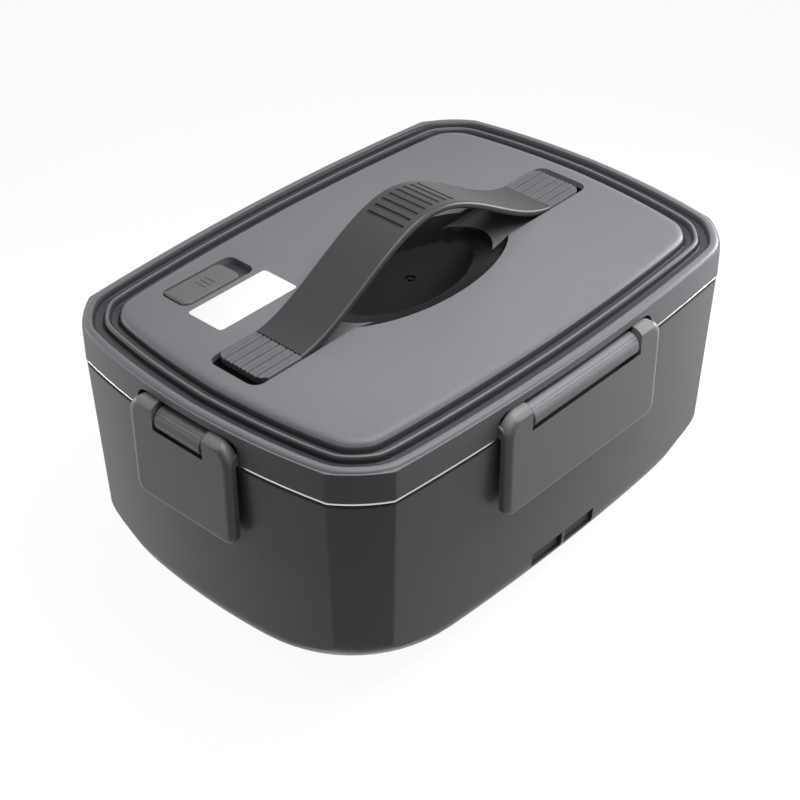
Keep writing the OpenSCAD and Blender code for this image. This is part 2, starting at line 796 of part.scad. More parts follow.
module wire(points) {
  p = wire_path(points);
  n = len(p);
  m = len(points) - 1;
  first = unit(points[1] - points[0]);
  last = unit(points[m] - points[m - 1]);
  polyhedron(
    points = [for (i = [0:n - 1]) each wire_ring(p, i, first, last)],
    faces = concat(
      [[for (k = [0:wire_sides - 1]) k]],
      [[for (k = [wire_sides - 1:-1:0]) (n - 1) * wire_sides + k]],
      [for (i = [0:n - 2], k = [0:wire_sides - 1]) let(j = (k + 1) % wire_sides)
        [i * wire_sides + k, (i + 1) * wire_sides + k, (i + 1) * wire_sides + j, i * wire_sides + j]]
    )
  );
}

tail_y = inlet_back + tail_l;
tail_run = 8;
short_run = 6;
fuse_rise = 11;
fuse_wire_z = plate_low - 6.4;
heater_mid = plate_low - heater_t / 2;
// Wire runs in front of, beside and below the heaters
wire_front = heater_y + heater_w / 2 + 9;
wire_bend = heater_y + 11;
wire_in = heater_l / 2 - 5;
wire_out = heater_l / 2 + 11;
wire_far = heater_l / 2 + 25;
wire_turn = heater_l / 2 - 15;
wire_dip = heater_mid - 2.8;
wire_climb = heater_mid - 0.8;
wire_low = cover_top + pad_t + 2.2;
wire_side_y = heater_y + heater_w / 2 + 3;
wire_tap_x = 3 * thermostat_r;
wire_tap_z = plate_low - 6.8;

module ac_wires() {
  color("#8a2f2a") {
    wire([[-socket_x - pin_pitch / 2, tail_y, bay_mid], [-socket_x - pin_pitch / 2, tail_y + tail_run, bay_mid],
      [-wire_in, -wire_front, wire_dip], [-wire_out, -wire_bend, wire_climb], [-wire_out, -heater_y, heater_mid],
      [-heater_l / 2, -heater_y, heater_mid]]);
    wire([[fuse_x, tail_y, bay_mid], [fuse_x, tail_y + short_run, bay_mid], [fuse_x, tail_y + fuse_rise, fuse_wire_z],
      [fuse_x, fuse_y - fuse_l / 2 - fuse_lead - 3, plate_low - fuse_h / 2],
      [fuse_x, fuse_y - fuse_l / 2 - fuse_lead, plate_low - fuse_h / 2]]);
  }
}

module dc_wires() {
  color("#26262a") {
    wire([[socket_x + pin_pitch / 2, tail_y, bay_mid], [socket_x + pin_pitch / 2, tail_y + tail_run, bay_mid],
      [wire_in, -wire_front - 2, wire_dip], [wire_out, -wire_bend, wire_climb], [wire_out + 1, 0, heater_mid],
      [wire_out, heater_y, heater_mid], [heater_l / 2, heater_y, heater_mid]]);
    wire([[socket_x - pin_pitch / 2, tail_y, bay_mid], [socket_x - pin_pitch / 2, tail_y + short_run, bay_mid],
      [wire_turn, -thermostat_y, wire_low], [wire_far, -wire_side_y, wire_low], [wire_far, wire_side_y, wire_low],
      [wire_tap_x, thermostat_y, wire_tap_z], [thermostat_r, thermostat_y, wire_tap_z]]);
  }
}

// Container: a drawn pan with a flat flange and a rolled edge
module food_container() {
  color("#cfcfd2") {
    difference() {
      union() {
        tub(PAN, pan_inset, pan_draft, pan_flange, pan_floor, pan_flange + steel, pan_round);
        slab(FACET, shell_inset, pan_flange, pan_flange + steel);
        ring(FACET, shell_inset, shell_inset + roll_h, pan_flange, pan_flange + roll_h);
      }
      tub(PAN, pan_inset + steel, pan_draft, pan_flange, pan_floor + steel, pan_flange + steel + past, pan_round - steel);
    }
  }
}

// Handle sizes
strap_half = half_l - strap_end;
bow_half = strap_half + bow_run;
slider_proud = 0.8;
slider_top = panel_top + slider_proud;
slider_low = slider_top - strap_t;
slider_out = strap_half + slider_l;
channel_floor = slider_low - run_gap;
channel_half = slider_out + slider_travel;
channel_y = strap_w / 2 + strap_gap;
stem_in = strap_half + 4;
stem_out = slider_out - 4;
stem_y = 4;
retainer_lap = 3;
retainer_t = 1.6;
retainer_top = channel_floor - skin - run_gap;
retainer_low = retainer_top - retainer_t;
retainer_pitch = 3;
slider_grooves = 5;
slider_groove_w = 1.3;
slider_groove_depth = 0.8;

// Finger bowl: a surface turned about an axis above the panel
bowl_half_l = 44;
bowl_r = (pow(bowl_half_w, 2) / bowl_depth + bowl_depth) / 2;
bowl_up = bowl_r - bowl_depth;
bowl_drop = bowl_r - norm([bowl_up, channel_y]);
bowl_arc = (pow(bowl_half_l, 2) + pow(bowl_drop, 2)) / (2 * bowl_drop);
bowl_span = bowl_half_l + 16;
bowl_steps = 8;

module bowl(grow) {
  translate([0, 0, panel_top + bowl_up]) rotate([0, 90, 0]) rotate_extrude($fn = corner_fn)
    polygon(concat(
      [[0, -bowl_span]],
      [for (i = [-bowl_steps:bowl_steps]) let(x = bowl_span * i / bowl_steps)
        [bowl_r + grow - bowl_arc + sqrt(bowl_arc * bowl_arc - x * x), x]],
      [[0, bowl_span]]
    ));
}

// Vent sizes
plug_x = -half_l + plug_end;
plug_y = half_w - plug_side;
pocket_depth = 3;
pocket_gap = 1;
pocket_floor = panel_top - pocket_depth;
plug_t = 3;
plug_low = pocket_floor + run_gap;
plug_axis_x = plug_x + plug_t / 2;
plug_axis_z = plug_low + plug_t / 2;
vent_x = plug_x + plug_l * 0.62;
vent_r = 3;
vent_gap = 0.5;
vent_trunnion_r = 1;
vent_trunnion_l = 1;
vent_drop = 1.8;
label_x = plug_x + label_end;
label_y = plug_y - label_side;
label_t = 0.15;
label_corner = 1.5;

// Lid liner sizes
seal_h = 2;
seal_w = 2.7;
seal_low = pan_flange + steel + rest_gap;
seal_out = pan_inset - run_gap - seal_w;
lid_liner_low = seal_low + seal_h;
lid_liner_t = 2;
lid_liner_top = lid_liner_low + lid_liner_t;
lid_liner_edge = seal_out - 0.5;
stud_r = 2.5;
stud_x = 58;
stud_y = 36;
stud_h = 4.5;
stud_wall = 1.8;
steam_r = 1.4;
steam_pitch = 4;
module at_studs() {
  for (sx = [-1, 1], sy = [-1, 1]) translate([sx * stud_x, sy * stud_y, 0]) children();
}

// Rounded bead built up in layers across a width
module bead(from, w) {
  for (a = [18, 46, 76]) ring(RIM, from + w / 2 * (1 - cos(a)), from + w / 2 * (1 + cos(a)),
    lid_high - bite, lid_high + bead_rise * sin(a));
}

module lid_body() {
  slab(FACET, 0, lid_low, lid_high);
  bead(edge_w, bead_w);
  bead(inner_bead_in, inner_bead_w);
  for (a = [16, 34, 56, 90]) slab(RIM, lip_in + shoulder_w * (1 - cos(a)), lid_high - bite, lid_high + panel_rise * sin(a));
}

module vent_pocket(grow, low, high) {
  block(plug_x - pocket_gap - grow, plug_x + plug_l + notch_l + grow, plug_y - plug_w / 2 - pocket_gap - grow,
    plug_y + plug_w / 2 + pocket_gap + grow, low, high);
}

module slot_cut(s) {
  x0 = stem_in - run_gap;
  x1 = stem_out + slider_travel + run_gap;
  block(min(s * x0, s * x1), max(s * x0, s * x1), -stem_y - run_gap, stem_y + run_gap, channel_floor - skin - past, channel_floor + past);
}

module lid_cover() {
  color("#8c8c90") {
    difference() {
      union() {
        difference() {
          lid_body();
          slab(FACET, lid_wall, lid_low - past, lid_high - deck);
          slab(RIM, lip_in + deck, lid_low - past, panel_top - deck);
          ring(RIM, bead_in, band_in, lid_high - groove_depth, lid_high + 2 * past);
          ring(RIM, groove_in, lip_in, lid_high - groove_depth, lid_high + 2 * past);
        }
        intersection() {
          slab(FACET, lid_wall / 2, lid_low, lid_high - deck + bite);
          union() {
            at_front() pocket_wall(long_latch_w);
            at_rear() pocket_wall(long_latch_w);
            at_left() pocket_wall(short_latch_w);
            at_right() pocket_wall(short_latch_w);
          }
        }
        block(-channel_half - skin, channel_half + skin, -channel_y - skin, channel_y + skin,
          channel_floor - skin, panel_top - deck + bite);
        intersection() {
          bowl(skin);
          block(-bowl_span, bowl_span, -half_w / 2, half_w / 2, panel_top - bowl_depth - 2 * skin, panel_top - deck + bite);
        }
        vent_pocket(skin, pocket_floor - skin, panel_top - deck + bite);
        at_studs() translate([0, 0, lid_liner_top + rest_gap])
          cylinder(r = stud_r + stud_wall, h = panel_top - deck + bite - lid_liner_top - rest_gap);
      }
      at_front() pocket_cut(long_latch_w);
      at_rear() pocket_cut(long_latch_w);
      at_left() pocket_cut(short_latch_w);
      at_right() pocket_cut(short_latch_w);
      block(-channel_half, channel_half, -channel_y, channel_y, channel_floor, panel_top + past);
      slot_cut(-1);
      slot_cut(1);
      bowl(0);
      vent_pocket(0, pocket_floor, panel_top + past);
      translate([vent_x, plug_y, pocket_floor - skin - past]) cylinder(r = vent_r + vent_gap, h = skin + 2 * past);
      translate([plug_axis_x, plug_y, plug_axis_z]) rotate([0, 0, 90])
        bar(vent_trunnion_r + pin_gap, plug_w + 2 * (pocket_gap + vent_trunnion_l));
      at_studs() translate([0, 0, lid_liner_top - past]) cylinder(r = stud_r + pin_gap, h = stud_h + past + run_gap);
    }
    at_front() barrel(long_latch_w);
    at_rear() barrel(long_latch_w);
    at_left() barrel(short_latch_w);
    at_right() barrel(short_latch_w);
  }
}

module lid_liner() {
  color("#e4e4e2") difference() {
    union() {
      slab(PAN, lid_liner_edge, lid_liner_low, lid_liner_top);
      at_studs() translate([0, 0, lid_liner_top - bite]) cylinder(r = stud_r, h = stud_h + bite);
    }
    for (k = [-1, 0, 1]) translate([vent_x + k * steam_pitch, plug_y, lid_liner_low - past])
      cylinder(r = steam_r, h = lid_liner_t + 2 * past);
  }
}

module lid_seal() {
  color("#f0f0ee") ring(PAN, seal_out, seal_out + seal_w, seal_low, lid_liner_low);
}

module lid_label() {
  color("white") translate([label_x, label_y, 0]) rounded_plate(label_l, label_w, label_corner, panel_top, panel_top + label_t);
}

module vent_plug() {
  color("#80807c") {
    block(plug_axis_x, plug_x + plug_l, plug_y - plug_w / 2, plug_y + plug_w / 2, plug_low, plug_low + plug_t);
    translate([plug_axis_x, plug_y, plug_axis_z]) rotate([0, 0, 90]) {
      bar(plug_t / 2, plug_w);
      bar(vent_trunnion_r, plug_w + 2 * (pocket_gap + vent_trunnion_l - pin_gap));
    }
    translate([vent_x, plug_y, pocket_floor - vent_drop]) cylinder(r = vent_r, h = vent_drop + run_gap + bite);
  }
}

module front_latch() { color("#77777a") at_front() latch(long_latch_w, long_catch_w); }
module rear_latch() { color("#77777a") at_rear() latch(long_latch_w, long_catch_w); }
module left_latch() { color("#5e5e5e") at_left() latch(short_latch_w, short_catch_w); }
module right_latch() { color("#5e5e5e") at_right() latch(short_latch_w, short_catch_w); }

module long_latch_pins() {
  color("#b8b8bc") {
    at_front() latch_pin(long_latch_w);
    at_rear() latch_pin(long_latch_w);
  }
}

module short_latch_pins() {
  color("#b8b8bc") {
    at_left() latch_pin(short_latch_w);
    at_right() latch_pin(short_latch_w);
  }
}

// Height of the bow's underside at x, flat where it meets the sliders
function bow_z(x) = let(t = abs(x) / bow_half) slider_low + strap_rise * (1 - t * t * (3 - 2 * t));

strap_steps = 22;

module handle_strap() {
  e = strap_half - run_gap;
  color("#525254") translate([0, strap_w / 2, 0]) rotate([90, 0, 0]) linear_extrude(strap_w) polygon(concat(
    [for (i = [-strap_steps:strap_steps]) let(x = e * i / strap_steps) [x, bow_z(x)]],
    [for (i = [strap_steps:-1:-strap_steps]) let(x = e * i / strap_steps) [x, bow_z(x) + strap_t]]
  ));
}

// Slider on the +X side
module slider() {
  pitch = strap_w / (slider_grooves + 1);
  difference() {
    union() {
      block(strap_half, slider_out, -strap_w / 2, strap_w / 2, slider_low, slider_top);
      block(stem_in, stem_out, -stem_y, stem_y, retainer_top, slider_low + bite);
    }
    for (k = [1:slider_grooves]) block(strap_half + slider_groove_w, slider_out - slider_groove_w,
      -strap_w / 2 + k * pitch - slider_groove_w / 2, -strap_w / 2 + k * pitch + slider_groove_w / 2,
      slider_top - slider_groove_depth, slider_top + past);
    at_stem_screws() translate([0, 0, retainer_top - past]) cylinder(r = small_r + screw_gap, h = stem_screw_l + past);
  }
}

stem_screw_l = 4;
module at_stem_screws() {
  for (s = [-1, 1]) translate([(stem_in + stem_out) / 2 + s * retainer_pitch, 0, 0]) children();
}

module retainer() {
  difference() {
    block(stem_in - retainer_lap, stem_out + retainer_lap, -stem_y - retainer_lap, stem_y + retainer_lap, retainer_low, retainer_top);
    at_stem_screws() translate([0, 0, retainer_low - past]) cylinder(r = small_r + screw_gap, h = retainer_t + 2 * past);
  }
}

module stem_screws() {
  at_stem_screws() screw(small_r, small_head_r, small_head_h, retainer_low - small_head_h, retainer_top + stem_screw_l - run_gap);
}

module right_handle_slider() { color("#8c898c") slider(); }
module left_handle_slider() { color("#8c898c") mirror([1, 0, 0]) slider(); }
module right_retainer() { color("#9a9a9e") retainer(); }
module left_retainer() { color("#9a9a9e") mirror([1, 0, 0]) retainer(); }
module right_retainer_screws() { color("#b8b8bc") stem_screws(); }
module left_retainer_screws() { color("#b8b8bc") mirror([1, 0, 0]) stem_screws(); }

outer_shell();
inner_liner();
liner_screws();
bottom_cover();
cover_screws();
rubber_feet();
heating_plate();
plate_gasket();
ptc_heaters();
heater_clip();
clip_screws();
insulation_pad();
thermostat();
thermostat_screws();
thermal_fuse();
ac_inlet();
ac_pins();
dc_inlet();
dc_pins();
ac_wires();
dc_wires();
ac_cover();
dc_cover();
food_container();
lid_cover();
lid_liner();
lid_seal();
lid_label();
vent_plug();
front_latch();
rear_latch();
left_latch();
right_latch();
long_latch_pins();
short_latch_pins();
handle_strap();
left_handle_slider();
right_handle_slider();
left_retainer();
right_retainer();
left_retainer_screws();
right_retainer_screws();
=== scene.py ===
"""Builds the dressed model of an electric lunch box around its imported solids.

Everything is in metres, in the same frame as the solids: +X along the longer side, +Z up, and the
power inlets on the -Y side. Each sub-assembly is a class that builds its own pieces and finishes.
"""

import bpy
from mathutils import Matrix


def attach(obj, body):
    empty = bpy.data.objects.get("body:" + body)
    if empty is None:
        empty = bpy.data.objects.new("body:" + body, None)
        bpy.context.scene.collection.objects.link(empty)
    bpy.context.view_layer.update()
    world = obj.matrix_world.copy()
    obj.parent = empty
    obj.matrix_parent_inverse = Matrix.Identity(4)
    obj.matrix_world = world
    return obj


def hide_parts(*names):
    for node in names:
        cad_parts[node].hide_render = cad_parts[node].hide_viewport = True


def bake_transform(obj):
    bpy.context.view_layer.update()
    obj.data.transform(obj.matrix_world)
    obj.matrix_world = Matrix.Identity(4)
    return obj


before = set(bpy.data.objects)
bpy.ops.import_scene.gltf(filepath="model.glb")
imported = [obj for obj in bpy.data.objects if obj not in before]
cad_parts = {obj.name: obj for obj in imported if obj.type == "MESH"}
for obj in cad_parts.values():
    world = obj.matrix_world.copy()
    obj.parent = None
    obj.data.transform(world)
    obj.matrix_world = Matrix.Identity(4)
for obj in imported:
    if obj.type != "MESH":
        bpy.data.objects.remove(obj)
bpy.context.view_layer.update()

import logging
import math
from dataclasses import dataclass, field
from enum import Enum
from typing import Iterable, Sequence

import bmesh
import bpy
from mathutils import Matrix, Vector

LOG = logging.getLogger("lunch_box")
MM = 0.001
BEVEL_STEPS = 2
FLAP_CORNER_STEPS = 8
SHARP_EDGE = math.radians(50)
Point = tuple[float, float]
Ring = list[Vector]
Colour = tuple[float, float, float, float]


def linear(hex_colour: str) -> Colour:
    """Turns an sRGB hex colour into a linear RGBA value.

    Args:
        hex_colour: Colour such as "#8C8C90".

    Returns:
        Linear red, green, blue and an alpha of 1.
    """
    parts = [int(hex_colour[i : i + 2], 16) / 255 for i in (1, 3, 5)]
    return (*[c / 12.92 if c <= 0.04045 else ((c + 0.055) / 1.055) ** 2.4 for c in parts], 1.0)


def shade(hex_colour: str, factor: float) -> Colour:
    """Gives a linear colour made lighter or darker by a factor."""
    red, green, blue, _ = linear(hex_colour)
    return (min(red * factor, 1.0), min(green * factor, 1.0), min(blue * factor, 1.0), 1.0)


def add_node(
    tree: bpy.types.NodeTree, kind: str, inputs: dict | None = None, **settings: object
) -> bpy.types.Node:
    """Adds one shader node with its settings and its inputs.

    Args:
        tree: Node tree that takes the node.
        kind: Blender's name of the node type.
        inputs: Value or output socket for each named or numbered input.
        settings: Properties of the node itself.

    Returns:
        The new node.
    """
    node = tree.nodes.new(kind)
    for name, value in settings.items():
        setattr(node, name, value)
    for name, value in (inputs or {}).items():
        if isinstance(value, bpy.types.NodeSocket):
            tree.links.new(value, node.inputs[name])
        else:
            node.inputs[name].default_value = value
    return node


class Surface(Enum):
    """How a finish was made, with the scale that this gives its grain along X, Y and Z."""

    MOULDED = (1.0, 1.0, 1.0)
    BRUSHED = (0.04, 1.0, 1.0)
    FIBROUS = (1.0, 0.35, 1.0)


@dataclass(frozen=True)
class Finish:
    """A procedural finish with fine grain, slow mottling and its own gloss.

    The IOR is that of polypropylene, which most of the pieces are made of. Metals keep the default.
    """

    name: str
    colour: str
    roughness: float
    grain_mm: float = 0.4
    grain_depth_mm: float = 0.02
    mottle: float = 0.04
    mottle_mm: float = 25.0
    speckle: float = 0.02
    metallic: float = 0.0
    ior: float = 1.49
    specular: float = 0.5
    sheen: float = 0.0
    surface: Surface = Surface.MOULDED
    gloss_spread: float = 0.05

    def material(self) -> bpy.types.Material:
        """Gives the finish's material, built once and shared by its pieces.

        Returns:
            The material, whose patterns follow the piece's own coordinates.
        """
        known = bpy.data.materials.get(self.name)
        if known is not None:
            return known
        material = bpy.data.materials.new(self.name)
        material.use_nodes = True
        material.diffuse_color = linear(self.colour)
        tree = material.node_tree
        tree.nodes.clear()
        coord = add_node(tree, "ShaderNodeTexCoord").outputs["Object"]
        place = add_node(tree, "ShaderNodeMapping", {"Vector": coord, "Scale": self.surface.value})
        cloud = add_node(
            tree, "ShaderNodeTexNoise", {"Vector": coord, "Scale": 1000 / self.mottle_mm, "Detail": 3.0}
        )
        noise = {
            "Vector": place.outputs["Vector"], "Scale": 1000 / self.grain_mm, "Detail": 2.0, "Roughness": 0.6
        }
        grain = add_node(tree, "ShaderNodeTexNoise", noise).outputs["Fac"]
        tones = {"A": shade(self.colour, 1 - self.mottle), "B": shade(self.colour, 1 + self.mottle)}
        blotch = add_node(tree, "ShaderNodeMix", {"Factor": cloud.outputs["Fac"], **tones}, data_type="RGBA")
        spread = {"Value": grain, "From Min": 0.3, "From Max": 0.7}
        flecks = {**spread, "To Min": 1 - self.speckle, "To Max": 1 + self.speckle}
        fleck = add_node(tree, "ShaderNodeMapRange", flecks)
        tints = {"Factor": 1.0, "A": blotch.outputs["Result"], "B": fleck.outputs["Result"]}
        tone = add_node(tree, "ShaderNodeMix", tints, data_type="RGBA", blend_type="MULTIPLY")
        low = max(self.roughness - self.gloss_spread, 0.02)
        high = min(self.roughness + self.gloss_spread, 1.0)
        gloss = add_node(tree, "ShaderNodeMapRange", {**spread, "To Min": low, "To Max": high})
        bumps = {"Height": grain, "Strength": 0.6, "Distance": self.grain_depth_mm * MM}
        relief = add_node(tree, "ShaderNodeBump", bumps)
        look = {
            "Base Color": tone.outputs["Result"],
            "Metallic": self.metallic,
            "Roughness": gloss.outputs["Result"],
            "Specular IOR Level": self.specular,
            "Sheen Weight": self.sheen,
            "Normal": relief.outputs["Normal"],
        }
        if not self.metallic:
            look["IOR"] = self.ior
        shader = add_node(tree, "ShaderNodeBsdfPrincipled", look)
        add_node(tree, "ShaderNodeOutputMaterial", {"Surface": shader.outputs["BSDF"]})
        return material


# Grain: pits of a spark-eroded mould lie about 0.1 mm apart, lines of brushed metal about 0.05 mm, and
# the fibres and coating of paper and felt are finer still. None of that would show in the render, so
# each grain_mm below is drawn coarser than real, about 3 to 10 times, as far as it needs to be seen.
# Polypropylene from a spark-eroded mould: matt grey, with small flecks and a soft, wide highlight.
LID_PLASTIC = Finish(
    "moulded_grey_lid_polypropylene",
    "#79787D",
    0.42,
    grain_mm=0.9,
    grain_depth_mm=0.03,
    speckle=0.06,
    specular=0.3,
)
# The lid's plastic from a polished mould, drawn near black for the deep shade in the bowl, with a gleam.
BOWL_PAINTED_SHADE = Finish(
    "bowl_painted_shade_polypropylene", "#0B0B0C", 0.34, grain_mm=0.5, grain_depth_mm=0.004, specular=0.08
)
# The lid's plastic from a polished mould, drawn dark for shade in grooves and pocket, so the beads show.
RIM_PAINTED_SHADE = Finish(
    "rim_painted_shade_polypropylene", "#404044", 0.32, grain_mm=0.5, grain_depth_mm=0.004, specular=0.3
)
# The lid's polypropylene from a spark-eroded mould, drawn lighter than the lid as painted light where the
# barrels catch the lamps; it sets them off from the latches.
BARREL_PAINTED_LIGHT = Finish(
    "barrel_painted_light_polypropylene",
    "#939297",
    0.42,
    grain_mm=0.9,
    grain_depth_mm=0.02,
    speckle=0.05,
    specular=0.3,
)
# Polypropylene from a lightly blasted mould: even dark grey, satin, with long soft gradients.
CASE_PLASTIC = Finish(
    "moulded_grey_case_polypropylene", "#626265", 0.34, grain_mm=0.5, grain_depth_mm=0.008, specular=0.3
)
# Polypropylene from a blasted mould: mid grey, a little livelier than the case.
LATCH_PLASTIC = Finish(
    "moulded_grey_latch_polypropylene", "#8A8A8C", 0.38, grain_mm=0.5, grain_depth_mm=0.012, specular=0.3
)
# Polypropylene from a blasted mould: matt grey with cloudy patches a few millimetres wide.
SLIDER_PLASTIC = Finish(
    "moulded_light_grey_slider_polypropylene",
    "#646266",
    0.50,
    grain_mm=0.5,
    mottle=0.14,
    mottle_mm=5.0,
    speckle=0.08,
    specular=0.3,
)
# A thin sheet of painted shade, drawn black for the deep shade under the sliders, with hardly any highlight.
TRACK_PAINTED_SHADE = Finish("channel_painted_shade_sheet", "#080809", 0.90, specular=0.05)
# Moulded polypropylene inside the box: dark grey and dull.
INNER_PLASTIC = Finish("moulded_dark_grey_chamber_polypropylene", "#4C4C4E", 0.50, grain_mm=0.6)
# Moulded nylon: plain light grey, faintly waxy.
RETAINER_PLASTIC = Finish("moulded_grey_retainer_nylon", "#9A9A9E", 0.45)
# Moulded polypropylene: warm white with a soft shine.
LINER_PLASTIC = Finish("moulded_white_lid_liner_polypropylene", "#E4E4E0", 0.38, grain_mm=0.8)
# Moulded nylon: near black with a weak highlight.
SOCKET_PLASTIC = Finish("moulded_black_socket_nylon", "#1E1E20", 0.48)
# Moulded soft rubber: charcoal, with a broad, dim highlight along the bow.
STRAP_RUBBER = Finish(
    "moulded_charcoal_strap_rubber", "#2D2D30", 0.42, grain_mm=0.3, grain_depth_mm=0.02, specular=0.45
)
# Moulded silicone: grey and matt, so the covers look soft beside the case.
COVER_SILICONE = Finish("moulded_grey_dust_cover_silicone", "#565658", 0.55, specular=0.3)
# Moulded silicone: lighter grey and matt, so the plug shows against its pocket.
VENT_SILICONE = Finish("moulded_grey_vent_silicone", "#6C6C6C", 0.50, specular=0.3)
# Moulded silicone: milky white with a faint sheen at its edges.
SEAL_SILICONE = Finish("moulded_white_seal_silicone", "#ECECE8", 0.50, sheen=0.1)
# Moulded silicone: brick red with a faint sheen at its edges.
GASKET_SILICONE = Finish("moulded_red_gasket_silicone", "#A5362B", 0.55, sheen=0.1)
# Moulded rubber: black and quite dull.
FOOT_RUBBER = Finish("moulded_black_foot_rubber", "#262626", 0.70)
# Extruded silicone sleeve: dull dark red.
RED_WIRE = Finish("extruded_red_silicone_wire", "#8E2B24", 0.50)
# Extruded silicone sleeve: dull black.
BLACK_WIRE = Finish("extruded_black_silicone_wire", "#232325", 0.50)
# Drawn and brushed stainless sheet: bright grey, with highlights drawn out along X.
STAINLESS = Finish(
    "brushed_stainless_steel",
    "#D2D2D4",
    0.28,
    grain_mm=0.35,
    grain_depth_mm=0.006,
    metallic=1.0,
    surface=Surface.BRUSHED,
)
# Ground steel rod: bright, with fine lines drawn out along X.
PIN_STEEL = Finish("ground_steel_pin", "#B4B4B8", 0.30, metallic=1.0, surface=Surface.BRUSHED)
# Zinc-plated steel: bright bluish grey without direction.
SCREW_STEEL = Finish("zinc_plated_screw_steel", "#BDBDC2", 0.35, metallic=1.0)
# Stamped spring steel: darker grey with faint rolling lines.
CLIP_STEEL = Finish("stamped_spring_steel", "#A2A2A6", 0.38, metallic=1.0, surface=Surface.BRUSHED)
# Satin anodised aluminium: pale and even, with a wide highlight.
PLATE_ALUMINIUM = Finish(
    "satin_anodised_heating_plate_aluminium", "#C6C6CA", 0.42, grain_mm=0.6, metallic=1.0
)
# Extruded aluminium: pale, with lines along its length.
HEATER_ALUMINIUM = Finish("extruded_heater_aluminium", "#D0D0D2", 0.35, metallic=1.0, surface=Surface.BRUSHED)
# Nickel-plated brass worn at the contacts: pale yellow metal.
PIN_BRASS = Finish("nickel_plated_contact_brass", "#CDB77A", 0.30, metallic=1.0)
# Moulded phenolic resin: hard black with a clear highlight.
PHENOLIC = Finish("moulded_black_phenolic", "#222224", 0.35)
# Fired ceramic: cream and slightly glossy.
CERAMIC = Finish("fired_fuse_ceramic", "#D8D2C0", 0.45)
# Coated paper: clean white, almost without pattern.
LABEL_PAPER = Finish(
    "blank_coated_label_paper", "#FAFAFA", 0.45, grain_mm=0.25, grain_depth_mm=0.004, mottle=0.01
)
# Felted ceramic fibre: cream, deeply fuzzy and without shine.
PAD_FIBRE = Finish(
    "felted_ceramic_fibre", "#DDD6C4", 0.95, grain_mm=1.2, grain_depth_mm=0.3, surface=Surface.FIBROUS
)


def deselect() -> None:
    """Leaves edit mode and selects nothing."""
    if bpy.context.mode != "OBJECT":
        bpy.ops.object.mode_set(mode="OBJECT")
    bpy.ops.object.select_all(action="DESELECT")


def activate(obj: bpy.types.Object) -> None:
    """Selects one object alone and makes it active.

    Args:
        obj: Object to select.
    """
    deselect()
    obj.select_set(True)
    bpy.context.view_layer.objects.active = obj


def apply_modifier(obj: bpy.types.Object, kind: str, **settings: object) -> None:
    """Adds a modifier with its settings and applies it.

    Args:
        obj: Object to change.
        kind: Blender's name of the modifier type.
        settings: Properties of the modifier.
    """
    activate(obj)
    modifier = obj.modifiers.new(kind.lower(), kind)
    for name, value in settings.items():
        setattr(modifier, name, value)
    bpy.ops.object.modifier_apply(modifier=modifier.name)


def box(low: Sequence[float], high: Sequence[float], bevel: float = 0.0) -> bpy.types.Object:
    """Adds a box between two corners, in millimetres, with bevelled edges.

    Args:
        low: Lowest corner.
        high: Highest corner.
        bevel: Width of the edge bevel.

    Returns:
        The box, with its place in its mesh.
    """
    deselect()
    middle = [(a + b) / 2 * MM for a, b in zip(low, high)]
    bpy.ops.mesh.primitive_cube_add(size=1, location=middle)
    obj = bpy.context.object
    obj.scale = [(b - a) * MM for a, b in zip(low, high)]
    bpy.ops.object.transform_apply(location=True, rotation=True, scale=True)
    if bevel:
        apply_modifier(obj, "BEVEL", width=bevel * MM, segments=BEVEL_STEPS, limit_method="ANGLE")
    return obj


def bar(
    middle: Sequence[float], radius: float, length: float, turn: tuple[float, float, float], sides: int = 48
) -> bpy.types.Object:
    """Adds a round bar.

    Args:
        middle: Centre in millimetres.
        radius: Radius in millimetres.
        length: Length in millimetres.
        turn: Rotation in degrees that takes the Z axis to the bar's axis.
        sides: Number of sides.

    Returns:
        The bar, with its place in its mesh.
    """
    deselect()
    bpy.ops.mesh.primitive_cylinder_add(
        vertices=sides,
        radius=radius * MM,
        depth=length * MM,
        location=[c * MM for c in middle],
        rotation=[math.radians(a) for a in turn],
    )
    obj = bpy.context.object
    bpy.ops.object.transform_apply(location=True, rotation=True, scale=True)
    return obj


def join(first: bpy.types.Object, *others: bpy.types.Object) -> bpy.types.Object:
    """Joins pieces into the first one.

    Args:
        first: Piece that takes the others in.
        others: Pieces to join to it.

    Returns:
        The first piece.
    """
    activate(first)
    for other in others:
        other.select_set(True)
    bpy.ops.object.join()
    return first


def cut(obj: bpy.types.Object, *tools: bpy.types.Object, operation: str = "DIFFERENCE") -> None:
    """Cuts an object with tool shapes, or adds them to it, and removes the tools.

    A tool reaches past what it cuts, so that no face of it lies on a face of the object.

    Args:
        obj: Object to change.
        tools: Shapes to cut away or add.
        operation: Blender's name of the boolean operation.
    """
    for tool in tools:
        apply_modifier(obj, "BOOLEAN", object=tool, operation=operation, solver="EXACT")
        bpy.data.objects.remove(tool)


